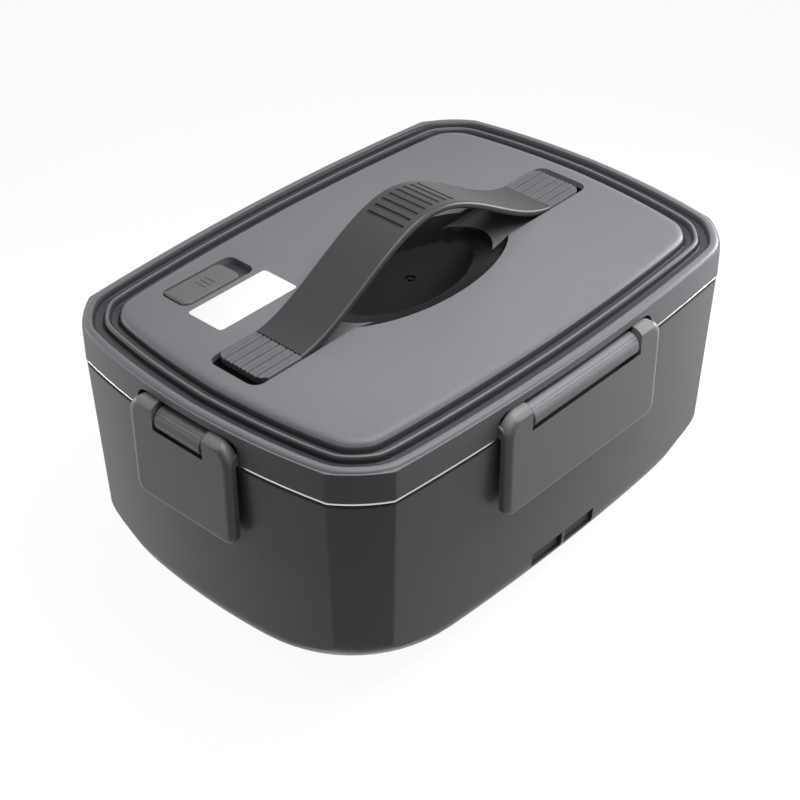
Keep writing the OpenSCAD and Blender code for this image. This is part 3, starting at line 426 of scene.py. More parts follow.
def loft(rings: list[Ring]) -> bpy.types.Object:
    """Draws a skin through rings of equal length by extruding a circle's edge again and again.

    Args:
        rings: Closed rings of points in metres.

    Returns:
        The skin, with its first and last ring filled and its faces turned outwards.
    """
    deselect()
    count = len(rings[0])
    bpy.ops.mesh.primitive_circle_add(vertices=count, radius=1.0, fill_type="NOTHING")
    obj = bpy.context.object
    for vertex, point in zip(obj.data.vertices, rings[0]):
        vertex.co = point
    bpy.ops.object.mode_set(mode="EDIT")
    bpy.ops.mesh.select_mode(type="VERT")
    mesh = bmesh.from_edit_mesh(obj.data)
    mesh.verts.ensure_lookup_table()
    previous = {tuple(v.co): i for i, v in enumerate(mesh.verts)}
    for ring in rings[1:]:
        bpy.ops.mesh.extrude_edges_move()
        mesh = bmesh.from_edit_mesh(obj.data)
        moved = {}
        for vertex in mesh.verts:
            if vertex.select:
                index = previous[tuple(vertex.co)]
                vertex.co = ring[index]
                moved[tuple(vertex.co)] = index
        previous = moved
    bmesh.update_edit_mesh(obj.data)
    bpy.ops.mesh.edge_face_add()
    bpy.ops.mesh.select_all(action="DESELECT")
    mesh = bmesh.from_edit_mesh(obj.data)
    mesh.verts.ensure_lookup_table()
    for index in range(count):
        mesh.verts[index].select = True
    mesh.select_flush(True)
    bpy.ops.mesh.edge_face_add()
    bpy.ops.mesh.select_all(action="SELECT")
    bpy.ops.mesh.normals_make_consistent(inside=False)
    bpy.ops.object.mode_set(mode="OBJECT")
    return obj


def finish_piece(
    obj: bpy.types.Object, name: str, finish: Finish, body: str, replaces: Iterable[str] = ()
) -> bpy.types.Object:
    """Names, dresses and seats one finished piece.

    Args:
        obj: Piece with its place in its mesh.
        name: Name of the piece.
        finish: Its finish.
        body: Body that it rides on.
        replaces: Solid nodes that it stands for.

    Returns:
        The piece.
    """
    dress(obj, name, finish, replaces)
    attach(obj, body)
    return obj


def dress(
    obj: bpy.types.Object,
    name: str,
    finish: Finish,
    replaces: Iterable[str] = (),
    angle: float = 30.0,
) -> None:
    """Names and dresses a piece without seating it on a body.

    Args:
        obj: Piece with its place in its mesh.
        name: Name of the piece.
        finish: Its finish.
        replaces: Solid nodes that it stands for.
        angle: Edges sharper than this many degrees stay crisp.
    """
    obj.name = name
    obj.data.name = name
    obj.data.materials.clear()
    obj.data.materials.append(finish.material())
    activate(obj)
    bpy.ops.object.shade_smooth_by_angle(angle=math.radians(angle))
    apply_modifier(obj, "WEIGHTED_NORMAL", keep_sharp=True)
    nodes = tuple(replaces)
    if nodes:
        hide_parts(*nodes)
    LOG.info("%s: %d faces", name, len(obj.data.polygons))


def rounded_copy(node: str, bevel: float) -> bpy.types.Object:
    """Copies a solid node, merges its loose triangles and softens its edges.

    Args:
        node: Name of the solid node.
        bevel: Width of the edge bevel in millimetres, or 0 for none.

    Returns:
        The copy, which has its own mesh.
    """
    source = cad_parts[node]
    deselect()
    obj = bpy.data.objects.new(node + "_copy", source.data.copy())
    bpy.context.scene.collection.objects.link(obj)
    activate(obj)
    bpy.ops.object.mode_set(mode="EDIT")
    bpy.ops.mesh.select_all(action="SELECT")
    bpy.ops.mesh.remove_doubles(threshold=0.002 * MM)
    bpy.ops.mesh.dissolve_limited(angle_limit=math.radians(0.5))
    bpy.ops.object.mode_set(mode="OBJECT")
    if bevel:
        apply_modifier(
            obj,
            "BEVEL",
            width=bevel * MM,
            segments=BEVEL_STEPS,
            limit_method="ANGLE",
            angle_limit=math.radians(35),
            use_clamp_overlap=True,
        )
    return obj


def paint_node(node: str, finish: Finish) -> None:
    """Gives a solid node a finish and leaves its shape alone.

    Args:
        node: Name of the solid node.
        finish: The finish that it takes.
    """
    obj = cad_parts[node]
    obj.data.materials.clear()
    obj.data.materials.append(finish.material())
    LOG.info("%s: solid node with %s", node, finish.name)


class Corner(Enum):
    """How the plan outline turns from the long to the short sides."""

    FACET = "facet"
    ROUND = "round"


@dataclass
class Plan:
    """The box seen from above: bowed sides and cut or rounded corners, in millimetres."""

    half_l: float = 118.0
    half_w: float = 83.5
    long_bow: float = 1004.0
    short_bow: float = 292.0
    facet_long: float = 23.7
    facet_short: float = 21.1
    facet_bow: float = 58.0
    soft_radius: float = 33.7
    soft_growth: float = 4.77
    soft_push: float = 2.5
    soft_share: float = 0.3
    soft_passes: int = 5
    edge_soft: float = 0.7
    side_steps: int = 10
    end_steps: int = 8
    corner_steps: int = 14
    round_radius: float = 30.0

    @staticmethod
    def meet(first: Point, r1: float, second: Point, r2: float, near: Point) -> Point:
        """Finds where two circles meet.

        Args:
            first: Centre of the first circle.
            r1: Its radius.
            second: Centre of the second circle.
            r2: Its radius.
            near: Point that chooses between the two meetings.

        Returns:
            The meeting nearest to that point.
        """
        dx, dy = second[0] - first[0], second[1] - first[1]
        gap = math.hypot(dx, dy)
        along = (r1 * r1 - r2 * r2 + gap * gap) / (2 * gap)
        up = math.sqrt(max(r1 * r1 - along * along, 0.0))
        ux, uy = dx / gap, dy / gap
        spots = [(first[0] + ux * along - s * uy * up, first[1] + uy * along + s * ux * up) for s in (-1, 1)]
        return min(spots, key=lambda p: math.dist(p, near))

    def kinks(self) -> tuple[Point, Point]:
        """Finds the ends of the corner facet.

        Returns:
            Its end on the long side and its end on the short side.
        """
        ax, by = self.half_l - self.facet_long, self.half_w - self.facet_short
        ay = math.sqrt(self.long_bow**2 - ax**2) - (self.long_bow - self.half_w)
        bx = math.sqrt(self.short_bow**2 - by**2) - (self.short_bow - self.half_l)
        return (ax, ay), (bx, by)

    def facet_arc(self, inset: float, push: float) -> tuple[Point, float]:
        """Gives the corner facet's arc.

        Args:
            inset: Distance inside the lid's wall.
            push: Further distance that the middle of the facet moves in.

        Returns:
            The arc's centre and its radius.
        """
        (ax, ay), (bx, by) = self.kinks()
        run = math.hypot(bx - ax, by - ay)
        nx, ny = (ay - by) / run, (bx - ax) / run
        depth = math.sqrt(self.facet_bow**2 - (run / 2) ** 2) + push
        return ((ax + bx) / 2 - nx * depth, (ay + by) / 2 - ny * depth), self.facet_bow - inset

    def outline(self, corner: Corner, inset: float, height: float, push: float = 0.0) -> Ring:
        """Draws the outline at an inset and a height.

        Args:
            corner: How the corners turn.
            inset: Distance inside the lid's wall.
            height: Height above the table.
            push: Further distance that the corner facets move in.

        Returns:
            The ring, anticlockwise from the middle of the +X side, in metres.
        """
        quarter = self.quarter(corner, inset, push, self.round_radius)
        if push:
            rounded = self.quarter(Corner.ROUND, inset, push, self.soft_radius + self.soft_growth * push)
            share = min(push / self.soft_push, 1.0)
            share = share * share * (3 - 2 * share)
            quarter = self.mix(quarter, rounded, share)
        return self.whole(quarter, height)

    def soft(self, inset: float, height: float) -> Ring:
        """Draws the outline at an inset and a height with facets whose ends turn softly.

        Args:
            inset: Distance inside the lid's wall.
            height: Height above the table.

        Returns:
            The ring, in metres.
        """
        facet, rounded = (self.quarter(corner, inset, 0.0, self.round_radius) for corner in Corner)
        quarter = self.mix(facet, rounded, self.soft_share)
        for _ in range(self.soft_passes):
            middle = [
                tuple((a[k] + 2 * b[k] + c[k]) / 4 for k in (0, 1))
                for a, b, c in zip(quarter, quarter[1:], quarter[2:])
            ]
            quarter = [quarter[0], *middle, quarter[-1]]
        return self.whole(quarter, height)

    @staticmethod
    def mix(first: list[Point], second: list[Point], share: float) -> list[Point]:
        """Gives the outline that lies a share of the way from one to another."""
        return [(a[0] + share * (b[0] - a[0]), a[1] + share * (b[1] - a[1])) for a, b in zip(first, second)]

    @staticmethod
    def whole(quarter: list[Point], height: float) -> Ring:
        """Mirrors a quarter of the outline into a whole ring.

        Args:
            quarter: Points from the +Y side's middle to the +X side's middle, in millimetres.
            height: Height above the table.

        Returns:
            The ring, in metres.
        """
        points = [(x, y) for x, y in reversed(quarter)]
        points += [(-x, y) for x, y in quarter[1:]]
        points += [(-x, -y) for x, y in reversed(quarter[:-1])]
        points += [(x, -y) for x, y in quarter[1:-1]]
        return [Vector((x * MM, y * MM, height * MM)) for x, y in points]

    def quarter(self, corner: Corner, inset: float, push: float, radius: float) -> list[Point]:
        """Draws a quarter of the outline, from the +Y side's middle to the +X side's middle.

        Args:
            corner: How the corner turns.
            inset: Distance inside the lid's wall.
            push: Further distance that the corner facet moves in.
            radius: Radius of a rounded corner.

        Returns:
            The points, in millimetres.
        """
        side, end = (0.0, self.half_w - self.long_bow), (self.half_l - self.short_bow, 0.0)
        r_side, r_end = self.long_bow - inset, self.short_bow - inset
        if corner is Corner.FACET:
            centre, r_corner = self.facet_arc(inset, push)
            first, last = (
                self.meet(c, r, centre, r_corner, kink)
                for (c, r), kink in zip(((side, r_side), (end, r_end)), self.kinks())
            )
            soft = self.edge_soft
        else:
            centre = self.meet(
                side, self.long_bow - radius, end, self.short_bow - radius, (self.half_l, self.half_w)
            )
            r_corner = radius - inset
            first, last = self.reach(side, centre, r_side), self.reach(end, centre, r_end)
            soft = 0.0
        a_side = math.atan2(first[1] - side[1], first[0] - side[0]) + soft / r_side
        a_end = math.atan2(last[1] - end[1], last[0] - end[0]) - soft / r_end
        c_first = math.atan2(first[1] - centre[1], first[0] - centre[0]) - soft / r_corner
        c_last = math.atan2(last[1] - centre[1], last[0] - centre[0]) + soft / r_corner
        points = [
            self.on(side, r_side, math.pi / 2 + (a_side - math.pi / 2) * i / self.side_steps)
            for i in range(self.side_steps + 1)
        ]
        inner = self.corner_steps - 4 if soft else self.corner_steps
        arc = [self.on(centre, r_corner, c_first + (c_last - c_first) * i / inner) for i in range(inner + 1)]
        if soft:
            points += [self.bend(points[-1], first, arc[0], 0.5)] + arc
            tail = self.on(end, r_end, a_end)
            points += [self.bend(arc[-1], last, tail, 0.5)]
        else:
            points += arc[1:-1]
        points += [self.on(end, r_end, a_end * (1 - i / self.end_steps)) for i in range(self.end_steps + 1)]
        return points

    @staticmethod
    def on(centre: Point, radius: float, angle: float) -> Point:
        """Gives a point on a circle."""
        return (centre[0] + radius * math.cos(angle), centre[1] + radius * math.sin(angle))

    @staticmethod
    def reach(start: Point, through: Point, distance: float) -> Point:
        """Finds the point at a distance from a start, through another point.

        Args:
            start: Where the line starts.
            through: Point that the line passes.
            distance: Distance from the start.

        Returns:
            The point.
        """
        dx, dy = through[0] - start[0], through[1] - start[1]
        scale = distance / math.hypot(dx, dy)
        return (start[0] + dx * scale, start[1] + dy * scale)

    @staticmethod
    def bend(a: Point, b: Point, c: Point, t: float) -> Point:
        """Gives a point on the curve that rounds corner b between a and c."""
        return tuple((1 - t) ** 2 * a[i] + 2 * t * (1 - t) * b[i] + t * t * c[i] for i in (0, 1))


class Side(Enum):
    """The four sides, each with the turn about Z that takes +Y to its outward direction."""

    REAR = 0.0
    FRONT = 180.0
    LEFT = 90.0
    RIGHT = -90.0


def place(obj: bpy.types.Object, side: Side, plan: Plan) -> bpy.types.Object:
    """Moves a piece drawn with +Y out of the box to one of its sides.

    Args:
        obj: Piece drawn with the lid's wall at y = 0.
        side: The side that takes it.
        plan: Outline of the box.

    Returns:
        The piece, with its place in its mesh.
    """
    activate(obj)
    reach = plan.half_w if side in (Side.REAR, Side.FRONT) else plan.half_l
    turn = math.radians(side.value)
    obj.location = (-math.sin(turn) * reach * MM, math.cos(turn) * reach * MM, 0)
    obj.rotation_euler = (0, 0, turn)
    bpy.ops.object.transform_apply(location=True, rotation=True, scale=True)
    return obj


def rounded_ring(
    centre: Point, length: float, width: float, radius: float, height: float, steps: int = 6
) -> Ring:
    """Draws a rectangle with rounded corners at a height.

    Args:
        centre: Middle of the rectangle in millimetres, as are all its sizes.
        length: Size along X.
        width: Size along Y.
        radius: Radius of the corners.
        height: Height above the table.
        steps: Steps of each corner.

    Returns:
        The ring, in metres.
    """
    points = []
    for k, (sx, sy) in enumerate(((1, 1), (-1, 1), (-1, -1), (1, -1))):
        for i in range(steps + 1):
            angle = math.radians(90 * (k + i / steps))
            x = centre[0] + sx * (length / 2 - radius) + radius * math.cos(angle)
            y = centre[1] + sy * (width / 2 - radius) + radius * math.sin(angle)
            points.append(Vector((x * MM, y * MM, height * MM)))
    return points


def rounded_plate(
    centre: Point, length: float, width: float, radius: float, low: float, high: float
) -> bpy.types.Object:
    """Builds a plate with rounded corners between two heights.

    Args:
        centre: Middle of the plate.
        length: Its size along X.
        width: Its size along Y.
        radius: Radius of its corners.
        low: Height of its lower face.
        high: Height of its upper face.

    Returns:
        The plate.
    """
    return loft(
        [rounded_ring(centre, length, width, radius, low), rounded_ring(centre, length, width, radius, high)]
    )


def flap_ring(
    half: float, top: float, low: float, inset: float, y: float, corners: tuple[float, float] = (5.2, 5.2)
) -> Ring:
    """Draws a flap's outline, seen from the front, at an inset and a distance out of the box.

    Args:
        half: Half of the flap's width.
        top: Height of its upper edge.
        low: Height of its lower edge.
        inset: Distance inside that outline.
        y: Distance out of the box.
        corners: Radii of the upper and the lower corners.

    Returns:
        The ring, in metres.
    """
    points = []
    for k, (sx, sz) in enumerate(((1, 1), (-1, 1), (-1, -1), (1, -1))):
        radius = corners[0] if sz > 0 else corners[1]
        x, z = sx * (half - radius), (top - radius if sz > 0 else low + radius)
        for i in range(FLAP_CORNER_STEPS + 1):
            angle = math.radians(90 * (k + i / FLAP_CORNER_STEPS))
            points.append(
                Vector(
                    (x + (radius - inset) * math.cos(angle), y, z + (radius - inset) * math.sin(angle))
                ) * MM
            )
    return points


@dataclass
class Shell:
    """The outer shell with its rounded base, catches and inlet bay."""

    plan: Plan
    top: float = 86.4
    low: float = 1.5
    inset: float = 0.3
    wall: float = 2.4
    draft: float = 0.037
    base_round: float = 11.5
    keel_round: float = 22.0
    keel_gap: float = 0.3
    fillet_steps: int = 12
    keel_steps: int = 7
    edge: float = 0.35
    bay_x: float = 0.0
    # Lower and upper edge of the inlets, then the outer and inner end of their collar along Y.
    bay_z: tuple[float, float] = (9.4, 16.2)
    bay_y: tuple[float, float] = (-78.6, -60.98)
    bay_wall: float = 1.6
    socket_w: float = 18.2
    socket_x: float = 9.9
    # Lower and upper face of the catch ledges.
    catch_z: tuple[float, float] = (70.0, 73.0)
    catch_out: float = 1.7
    catch_w: dict[Side, float] = field(
        default_factory=lambda: {Side.FRONT: 48.0, Side.REAR: 48.0, Side.LEFT: 12.0, Side.RIGHT: 12.0}
    )
    # Length, width and corner radius of the opening for the bottom cover.
    cover: tuple[float, float, float] = (150.0, 80.0, 8.0)

    def inward(self, inset: float, low: float, fillet: float, height: float) -> float:
        """Gives a drafted wall's inset at a height.

        Args:
            inset: Inset at the top edge.
            low: Height of the floor.
            fillet: Radius between floor and wall.
            height: Height to look at.

        Returns:
            The inset.
        """
        lean = math.atan(self.draft)
        rise = (height - low - fillet) / fillet
        if rise > -math.sin(lean):
            return inset + self.draft * (self.top - height)
        foot = inset + self.draft * (self.top - low - fillet) + fillet / math.cos(lean)
        return foot - fillet * math.sqrt(max(1 - rise * rise, 0.0))

    def tub(self, inset: float, low: float, fillet: float, keel: float) -> list[Ring]:
        """Draws the rings of a drafted tub whose corners take a wider round at their foot.

        Args:
            inset: Inset at the top edge.
            low: Height of the floor.
            fillet: Radius between floor and wall.
            keel: Radius between floor and corner facet.

        Returns:
            The rings, lowest first.
        """
        steps, upper = self.fillet_steps, self.keel_steps
        heights = [low + fillet - fillet * math.cos(math.pi / 2 * i / steps) for i in range(steps + 1)]
        heights += [low + fillet + (keel - fillet) * (i + 1) / upper for i in range(upper)]
        rings = []
        for height in heights:
            side = self.inward(inset, low, fillet, height)
            corner = self.inward(inset - self.keel_gap, low - self.keel_gap, keel, height)
            rings.append(self.plan.outline(Corner.FACET, side, height, push=max(corner - side, 0.0)))
        return rings

    def skin(self) -> bpy.types.Object:
        """Builds the shell's skin, inside and out, with its openings.

        Returns:
            The skin.
        """
        inner = self.tub(
            self.inset + self.wall,
            self.low + self.wall,
            self.base_round - self.wall,
            self.keel_round - self.wall,
        )
        outer = self.tub(self.inset, self.low, self.base_round, self.keel_round)
        rim = [
            self.plan.outline(Corner.FACET, self.inset + self.wall, self.top - self.edge),
            self.plan.outline(Corner.FACET, self.inset + self.wall - self.edge, self.top),
            self.plan.outline(Corner.FACET, self.inset + self.edge, self.top),
            self.plan.outline(Corner.FACET, self.inset + 0.1, self.top - 0.1),
            self.plan.outline(Corner.FACET, self.inset + self.draft * self.edge, self.top - self.edge),
        ]
        obj = loft(inner + rim + outer[::-1])
        self.open_bay(obj, (-self.plan.half_w - 1, self.bay_y[1] - 8))
        length, width, corner = self.cover
        cut(obj, rounded_plate((0, 0), length, width, corner, self.low - 1, self.low + self.wall + 1))
        apply_modifier(
            obj, "BEVEL", width=0.3 * MM, segments=BEVEL_STEPS, limit_method="ANGLE", angle_limit=SHARP_EDGE
        )
        return obj

    def catches(self) -> bpy.types.Object:
        """Builds the four ledges that the latches hook under.

        Returns:
            The ledges, joined.
        """
        parts = []
        for side, width in self.catch_w.items():
            ledge = box(
                (-width / 2, -2.4, self.catch_z[0]), (width / 2, self.catch_out, self.catch_z[1]), bevel=0.35
            )
            parts.append(place(ledge, side, self.plan))
        return join(*parts)

    def open_bay(self, obj: bpy.types.Object, depth: tuple[float, float]) -> None:
        """Cuts the two socket openings through a piece.

        Args:
            obj: Piece to cut.
            depth: Where the cut starts and ends along Y.
        """
        for sign in (-1, 1):
            middle = self.bay_x + sign * self.socket_x
            cut(
                obj,
                box(
                    (middle - self.socket_w / 2, depth[0], self.bay_z[0]),
                    (middle + self.socket_w / 2, depth[1], self.bay_z[1]),
                ),
            )

    def bay(self) -> bpy.types.Object:
        """Builds the collar that lines the inlet bay behind the wall.

        Returns:
            The collar.
        """
        half = self.socket_x + self.socket_w / 2 + self.bay_wall
        collar = box(
            (self.bay_x - half, self.bay_y[0], self.bay_z[0] - self.bay_wall),
            (self.bay_x + half, self.bay_y[1], self.bay_z[1] + self.bay_wall),
        )
        self.open_bay(collar, (self.bay_y[0] - 1, self.bay_y[1] + 1))
        return collar

    def build(self) -> None:
        """Builds and seats all the shell's pieces."""
        finish_piece(self.skin(), "shell_skin", CASE_PLASTIC, "base", ["outer_shell"])
        finish_piece(self.catches(), "shell_catch_ledges", CASE_PLASTIC, "base")
        finish_piece(self.bay(), "inlet_bay_collar", CASE_PLASTIC, "base")
        finish_piece(
            rounded_copy("bottom_cover", 0.3),
            "bottom_cover_plate",
            INNER_PLASTIC,
            "base",
            ["bottom_cover"],
        )
        finish_piece(
            rounded_copy("rubber_feet", 0.4),
            "round_feet",
            FOOT_RUBBER,
            "base",
            ["rubber_feet"],
        )
        for name in ("ac", "dc"):
            cover = rounded_copy(f"{name}_cover", 0.2)
            finish_piece(
                cover,
                f"{name}_dust_cover",
                COVER_SILICONE,
                f"{name}_cover_body",
                [f"{name}_cover"],
            )


@dataclass
class Container:
    """The drawn steel food pan with its flat flange and rolled edge."""

    plan: Plan
    low: float = 22.7
    flange: float = 87.3
    steel: float = 0.8
    inset: float = 14.3
    draft: float = 0.05
    fillet: float = 12.0
    throat: float = 1.6
    roll_in: float = 0.95
    roll_r: float = 0.52
    fillet_steps: int = 10

    def wall(self, inset: float, low: float, fillet: float, top: float) -> list[Ring]:
        """Draws the rings of the pan's wall, floor first.

        Args:
            inset: Inset of the wall at the flange.
            low: Height of the floor.
            fillet: Radius between wall and floor.
            top: Height of the wall's upper end.

        Returns:
            The rings.
        """
        lean, steps = math.atan(self.draft), self.fillet_steps
        foot = inset + self.draft * (self.flange - low - fillet) + fillet / math.cos(lean)
        angles = [-math.pi / 2 + (math.pi / 2 - lean) * i / steps for i in range(steps + 1)]
        rings = [
            self.plan.outline(Corner.ROUND, foot - fillet * math.cos(a), low + fillet + fillet * math.sin(a))
            for a in angles
        ]
        return rings + [self.plan.outline(Corner.ROUND, inset + self.draft * (self.flange - top), top)]

    def pan(self) -> bpy.types.Object:
        """Builds the pan as one closed skin of sheet steel.

        Returns:
            The pan.
        """
        ring, top = self.plan.outline, self.flange + self.steel
        inner = self.wall(
            self.inset + self.steel, self.low + self.steel, self.fillet - self.steel, top - self.throat
        )
        for i in range(1, 5):
            angle = math.pi / 2 * i / 4
            inset = self.inset + self.steel - self.throat * (1 - math.cos(angle))
            inner.append(ring(Corner.ROUND, inset, top - self.throat * (1 - math.sin(angle))))
        roll = []
        middle = self.flange + self.roll_r
        for i in range(13):
            angle = math.radians(125 - 305 * i / 12)
            roll.append(
                ring(
                    Corner.FACET,
                    self.roll_in - self.roll_r * math.cos(angle),
                    middle + self.roll_r * math.sin(angle),
                )
            )
        outer = [
            ring(Corner.FACET, self.roll_in + 1.0, self.flange),
            ring(Corner.ROUND, self.inset - 0.6, self.flange),
            ring(Corner.ROUND, self.inset, self.flange - 0.6),
        ]
        return loft(
            inner + roll + outer + self.wall(self.inset, self.low, self.fillet, self.flange - 1.0)[::-1]
        )

    def build(self) -> None:
        """Builds and seats the pan."""
        finish_piece(self.pan(), "food_pan", STAINLESS, "container", ["food_container"])


@dataclass
class Lid:
    """The lid with its two rim beads, raised panel, strap channel, finger bowl and vent pocket."""

    plan: Plan
    low: float = 88.7
    high: float = 101.1
    panel: float = 103.5
    wall: float = 2.4
    deck: float = 2.6
    lip: float = 12.6
    # Inset and height of each step across the rim, from the wall to the panel.
    rim: tuple[Point, ...] = (
        (0.5, 101.1), (0.75, 101.45), (1.1, 101.75), (1.6, 101.97), (2.2, 102.07), (2.9, 102.0),
        (3.5, 101.8), (3.95, 101.4), (4.25, 100.8), (4.45, 100.1), (4.65, 99.55), (5.0, 99.3),
        (6.2, 99.25), (7.4, 99.3), (7.75, 99.55), (7.95, 100.1), (8.15, 100.9), (8.4, 101.5),
        (8.8, 101.92), (9.3, 102.07), (9.8, 101.92), (10.2, 101.5), (10.45, 100.9), (10.65, 100.1),
        (10.85, 99.55), (11.2, 99.3), (12.1, 99.25), (13.0, 99.3), (13.4, 99.6), (13.65, 100.2),
        (13.95, 100.95), (14.35, 101.65), (14.9, 102.35), (15.5, 102.85), (16.2, 103.15), (17.0, 103.35),
        (18.0, 103.46), (19.6, 103.5),
    )
    # Insets between which the rim's grooves take painted shade, up to the height of the crests.
    rim_shade_insets: tuple[float, float] = (3.4, 14.7)
    rim_crest: float = 101.9
    pin_z: float = 91.1
    pin_in: float = 0.8
    ear_r: float = 6.6
    barrel_r: float = 5.0
    step: float = 1.2
    fine: float = 0.2
    groove_angles: tuple[float, ...] = (54.0, 38.0)
    # Inner end and thickness of the thin sheets of painted shade in the channel and the vent pocket.
    shade_sheet_in: float = 69.0
    shade_sheet_t: float = 0.12
    gap: float = 0.3
    latch_w: dict[Side, float] = field(
        default_factory=lambda: {Side.FRONT: 90.0, Side.REAR: 90.0, Side.LEFT: 52.0, Side.RIGHT: 52.0}
    )
    # Half length, half width, floor height and corner radius of the strap's channel.
    channel: tuple[float, float, float, float] = (95.1, 12.7, 101.0, 4.5)
    # Radius of the turned bowl, its axis's height over the panel, radius of its long curve, and half span.
    bowl: tuple[float, float, float, float] = (44.64, 36.64, 168.09, 60.0)
    bowl_floor: float = 98.5
    # Ends along X, ends along Y and floor height of the vent's pocket.
    pocket: tuple[float, float, float, float, float] = (-77.4, -40.6, 43.3, 58.3, 100.5)
    pocket_corner: float = 3.8
    # Place and radius of the vent hole.
    vent: tuple[float, float, float] = (-58.42, 50.8, 3.5)
    # X, height, radius and length of the sockets for the vent plug's trunnions.
    vent_hinge: tuple[float, float, float, float] = (-74.9, 102.3, 1.05, 17.0)
    # Inner end, outer end and half width of the slots for the sliders' stems.
    slot: tuple[float, float, float] = (74.7, 91.4, 4.3)
    gate_r: float = 2.2
    gate_depth: float = 0.5
    # X, Y, radius and bore of the bosses.
    stud: tuple[float, float, float, float] = (58.0, 36.0, 4.3, 2.55)
    stud_z: tuple[float, float] = (92.3, 101.3)
    lens_steps: int = 24
    lens_sides: int = 128

    def body(self) -> bpy.types.Object:
        """Builds the lid's closed skin, before its pockets are cut.

        Returns:
            The skin, whose faces in the rim's grooves carry the material number 2, for painted shade.
        """
        ring = self.plan.outline
        under = self.lip + self.deck
        rings = [
            ring(Corner.ROUND, under, self.panel - self.deck),
            ring(Corner.ROUND, under, self.high - self.deck),
        ]
        rings += [ring(Corner.FACET, self.wall, z) for z in (self.high - self.deck, self.low + 0.2)]
        rings += [ring(Corner.FACET, self.wall - 0.2, self.low), ring(Corner.FACET, 0.25, self.low)]
        rings += [
            ring(Corner.FACET, 0.0, self.low + 0.25),
            ring(Corner.FACET, 0.0, self.high - 0.3),
            ring(Corner.FACET, 0.12, self.high - 0.08),
        ]
        first = len(rings)
        rings += [self.plan.soft(inset, height) for inset, height in self.rim]
        obj = loft(rings)
        pairs = enumerate(zip(self.rim, self.rim[1:]), first)
        low, high = self.rim_shade_insets
        dark = {k for k, (a, b) in pairs if low < a[0] and b[0] < high and (a[1] + b[1]) / 2 < self.rim_crest}
        for face in obj.data.polygons:
            levels = {vertex // len(rings[0]) for vertex in face.vertices}
            if len(levels) == 2 and min(levels) in dark:
                face.material_index = 2
        return obj

    def lens(self, grow: float = 0.0) -> bpy.types.Object:
        """Builds the turned shape that hollows the finger bowl.

        Args:
            grow: Distance by which it is larger all round.

        Returns:
            The shape.
        """
        radius, up, arc, span = self.bowl
        steps, sides = self.lens_steps, self.lens_sides
        rings = []
        for i in range(steps + 1):
            x = span * (2 * i / steps - 1)
            r = radius + grow - arc + math.sqrt(arc * arc - x * x)
            turn = [2 * math.pi * k / sides for k in range(sides)]
            rings.append(
                [
                    Vector((x * MM, r * math.cos(a) * MM, (self.panel + up + r * math.sin(a)) * MM))
                    for a in turn
                ]
            )
        return loft(rings)

    def skin(self) -> bpy.types.Object:
        """Builds the lid's skin with its pockets, channel, bowl and vent.

        Returns:
            The skin.
        """
        obj = self.body()
        half_x, half_y, floor, corner = self.channel
        x0, x1, y0, y1, pocket_floor = self.pocket
        under = self.panel - self.deck + 0.4
        walls = []
        for side, width in self.latch_w.items():
            half = width / 2 + self.gap + 2
            walls.append(
                place(
                    box(
                        (-half, -self.pin_in - self.ear_r - self.gap - 2, self.low + 0.1),
                        (half, -1.6, self.high - self.deck + 0.4),
                    ),
                    side,
                    self.plan,
                )
            )
        for wall in walls:
            cut(obj, wall, operation="UNION")
        dish = self.lens(2.0)
        cut(dish, box((-60, -40, self.bowl_floor - 2), (60, 40, under)), operation="INTERSECT")
        cut(obj, dish, operation="UNION")
        cut(
            obj,
            box((-half_x - 2, -half_y - 2, floor - 2), (half_x + 2, half_y + 2, under)),
            operation="UNION",
        )
        cut(obj, box((x0 - 2, y0 - 2, pocket_floor - 2), (x1 + 2, y1 + 2, under)), operation="UNION")
        for side, width in self.latch_w.items():
            depths = (-self.pin_in - self.ear_r - self.gap, 3.0)
            cut(
                obj,
                place(
                    loft(
                        [
                            flap_ring(width / 2, self.pin_z + self.ear_r, self.low - 8, -self.gap, y)
                            for y in depths
                        ]
                    ),
                    side,
                    self.plan,
                ),
            )
        bowl = self.lens()
        cut(bowl, box((-60, -40, self.bowl_floor), (60, 40, self.panel + 2)), operation="INTERSECT")
        cut(obj, bowl)
        gate = bar((0, 0, self.bowl_floor), self.gate_r, 2 * self.gate_depth, (0, 0, 0))
        cut(gate, bar((0, 0, self.bowl_floor), self.gate_r / 2, 4 * self.gate_depth, (0, 0, 0)))
        cut(obj, gate)
        cut(obj, rounded_plate((0, 0), 2 * half_x, 2 * half_y, corner, floor, self.panel + 1))
        slot_in, slot_out, slot_y = self.slot
        for sign in (-1, 1):
            ends = sorted((sign * slot_in, sign * slot_out))
            cut(obj, box((ends[0], -slot_y, floor - 3), (ends[1], slot_y, floor + 1)))
        cut(
            obj,
            rounded_plate(
                ((x0 + x1) / 2, (y0 + y1) / 2),
                x1 - x0,
                y1 - y0,
                self.pocket_corner,
                pocket_floor,
                self.panel + 1,
            ),
        )
        cut(obj, bar((self.vent[0], self.vent[1], pocket_floor - 1), self.vent[2], 4, (0, 0, 0)))
        hinge_x, hinge_z, hinge_r, hinge_l = self.vent_hinge
        cut(obj, bar((hinge_x, self.vent[1], hinge_z), hinge_r, hinge_l, (90, 0, 0)))
        apply_modifier(
            obj, "BEVEL", width=0.35 * MM, segments=BEVEL_STEPS, limit_method="ANGLE", angle_limit=SHARP_EDGE
        )
        return obj

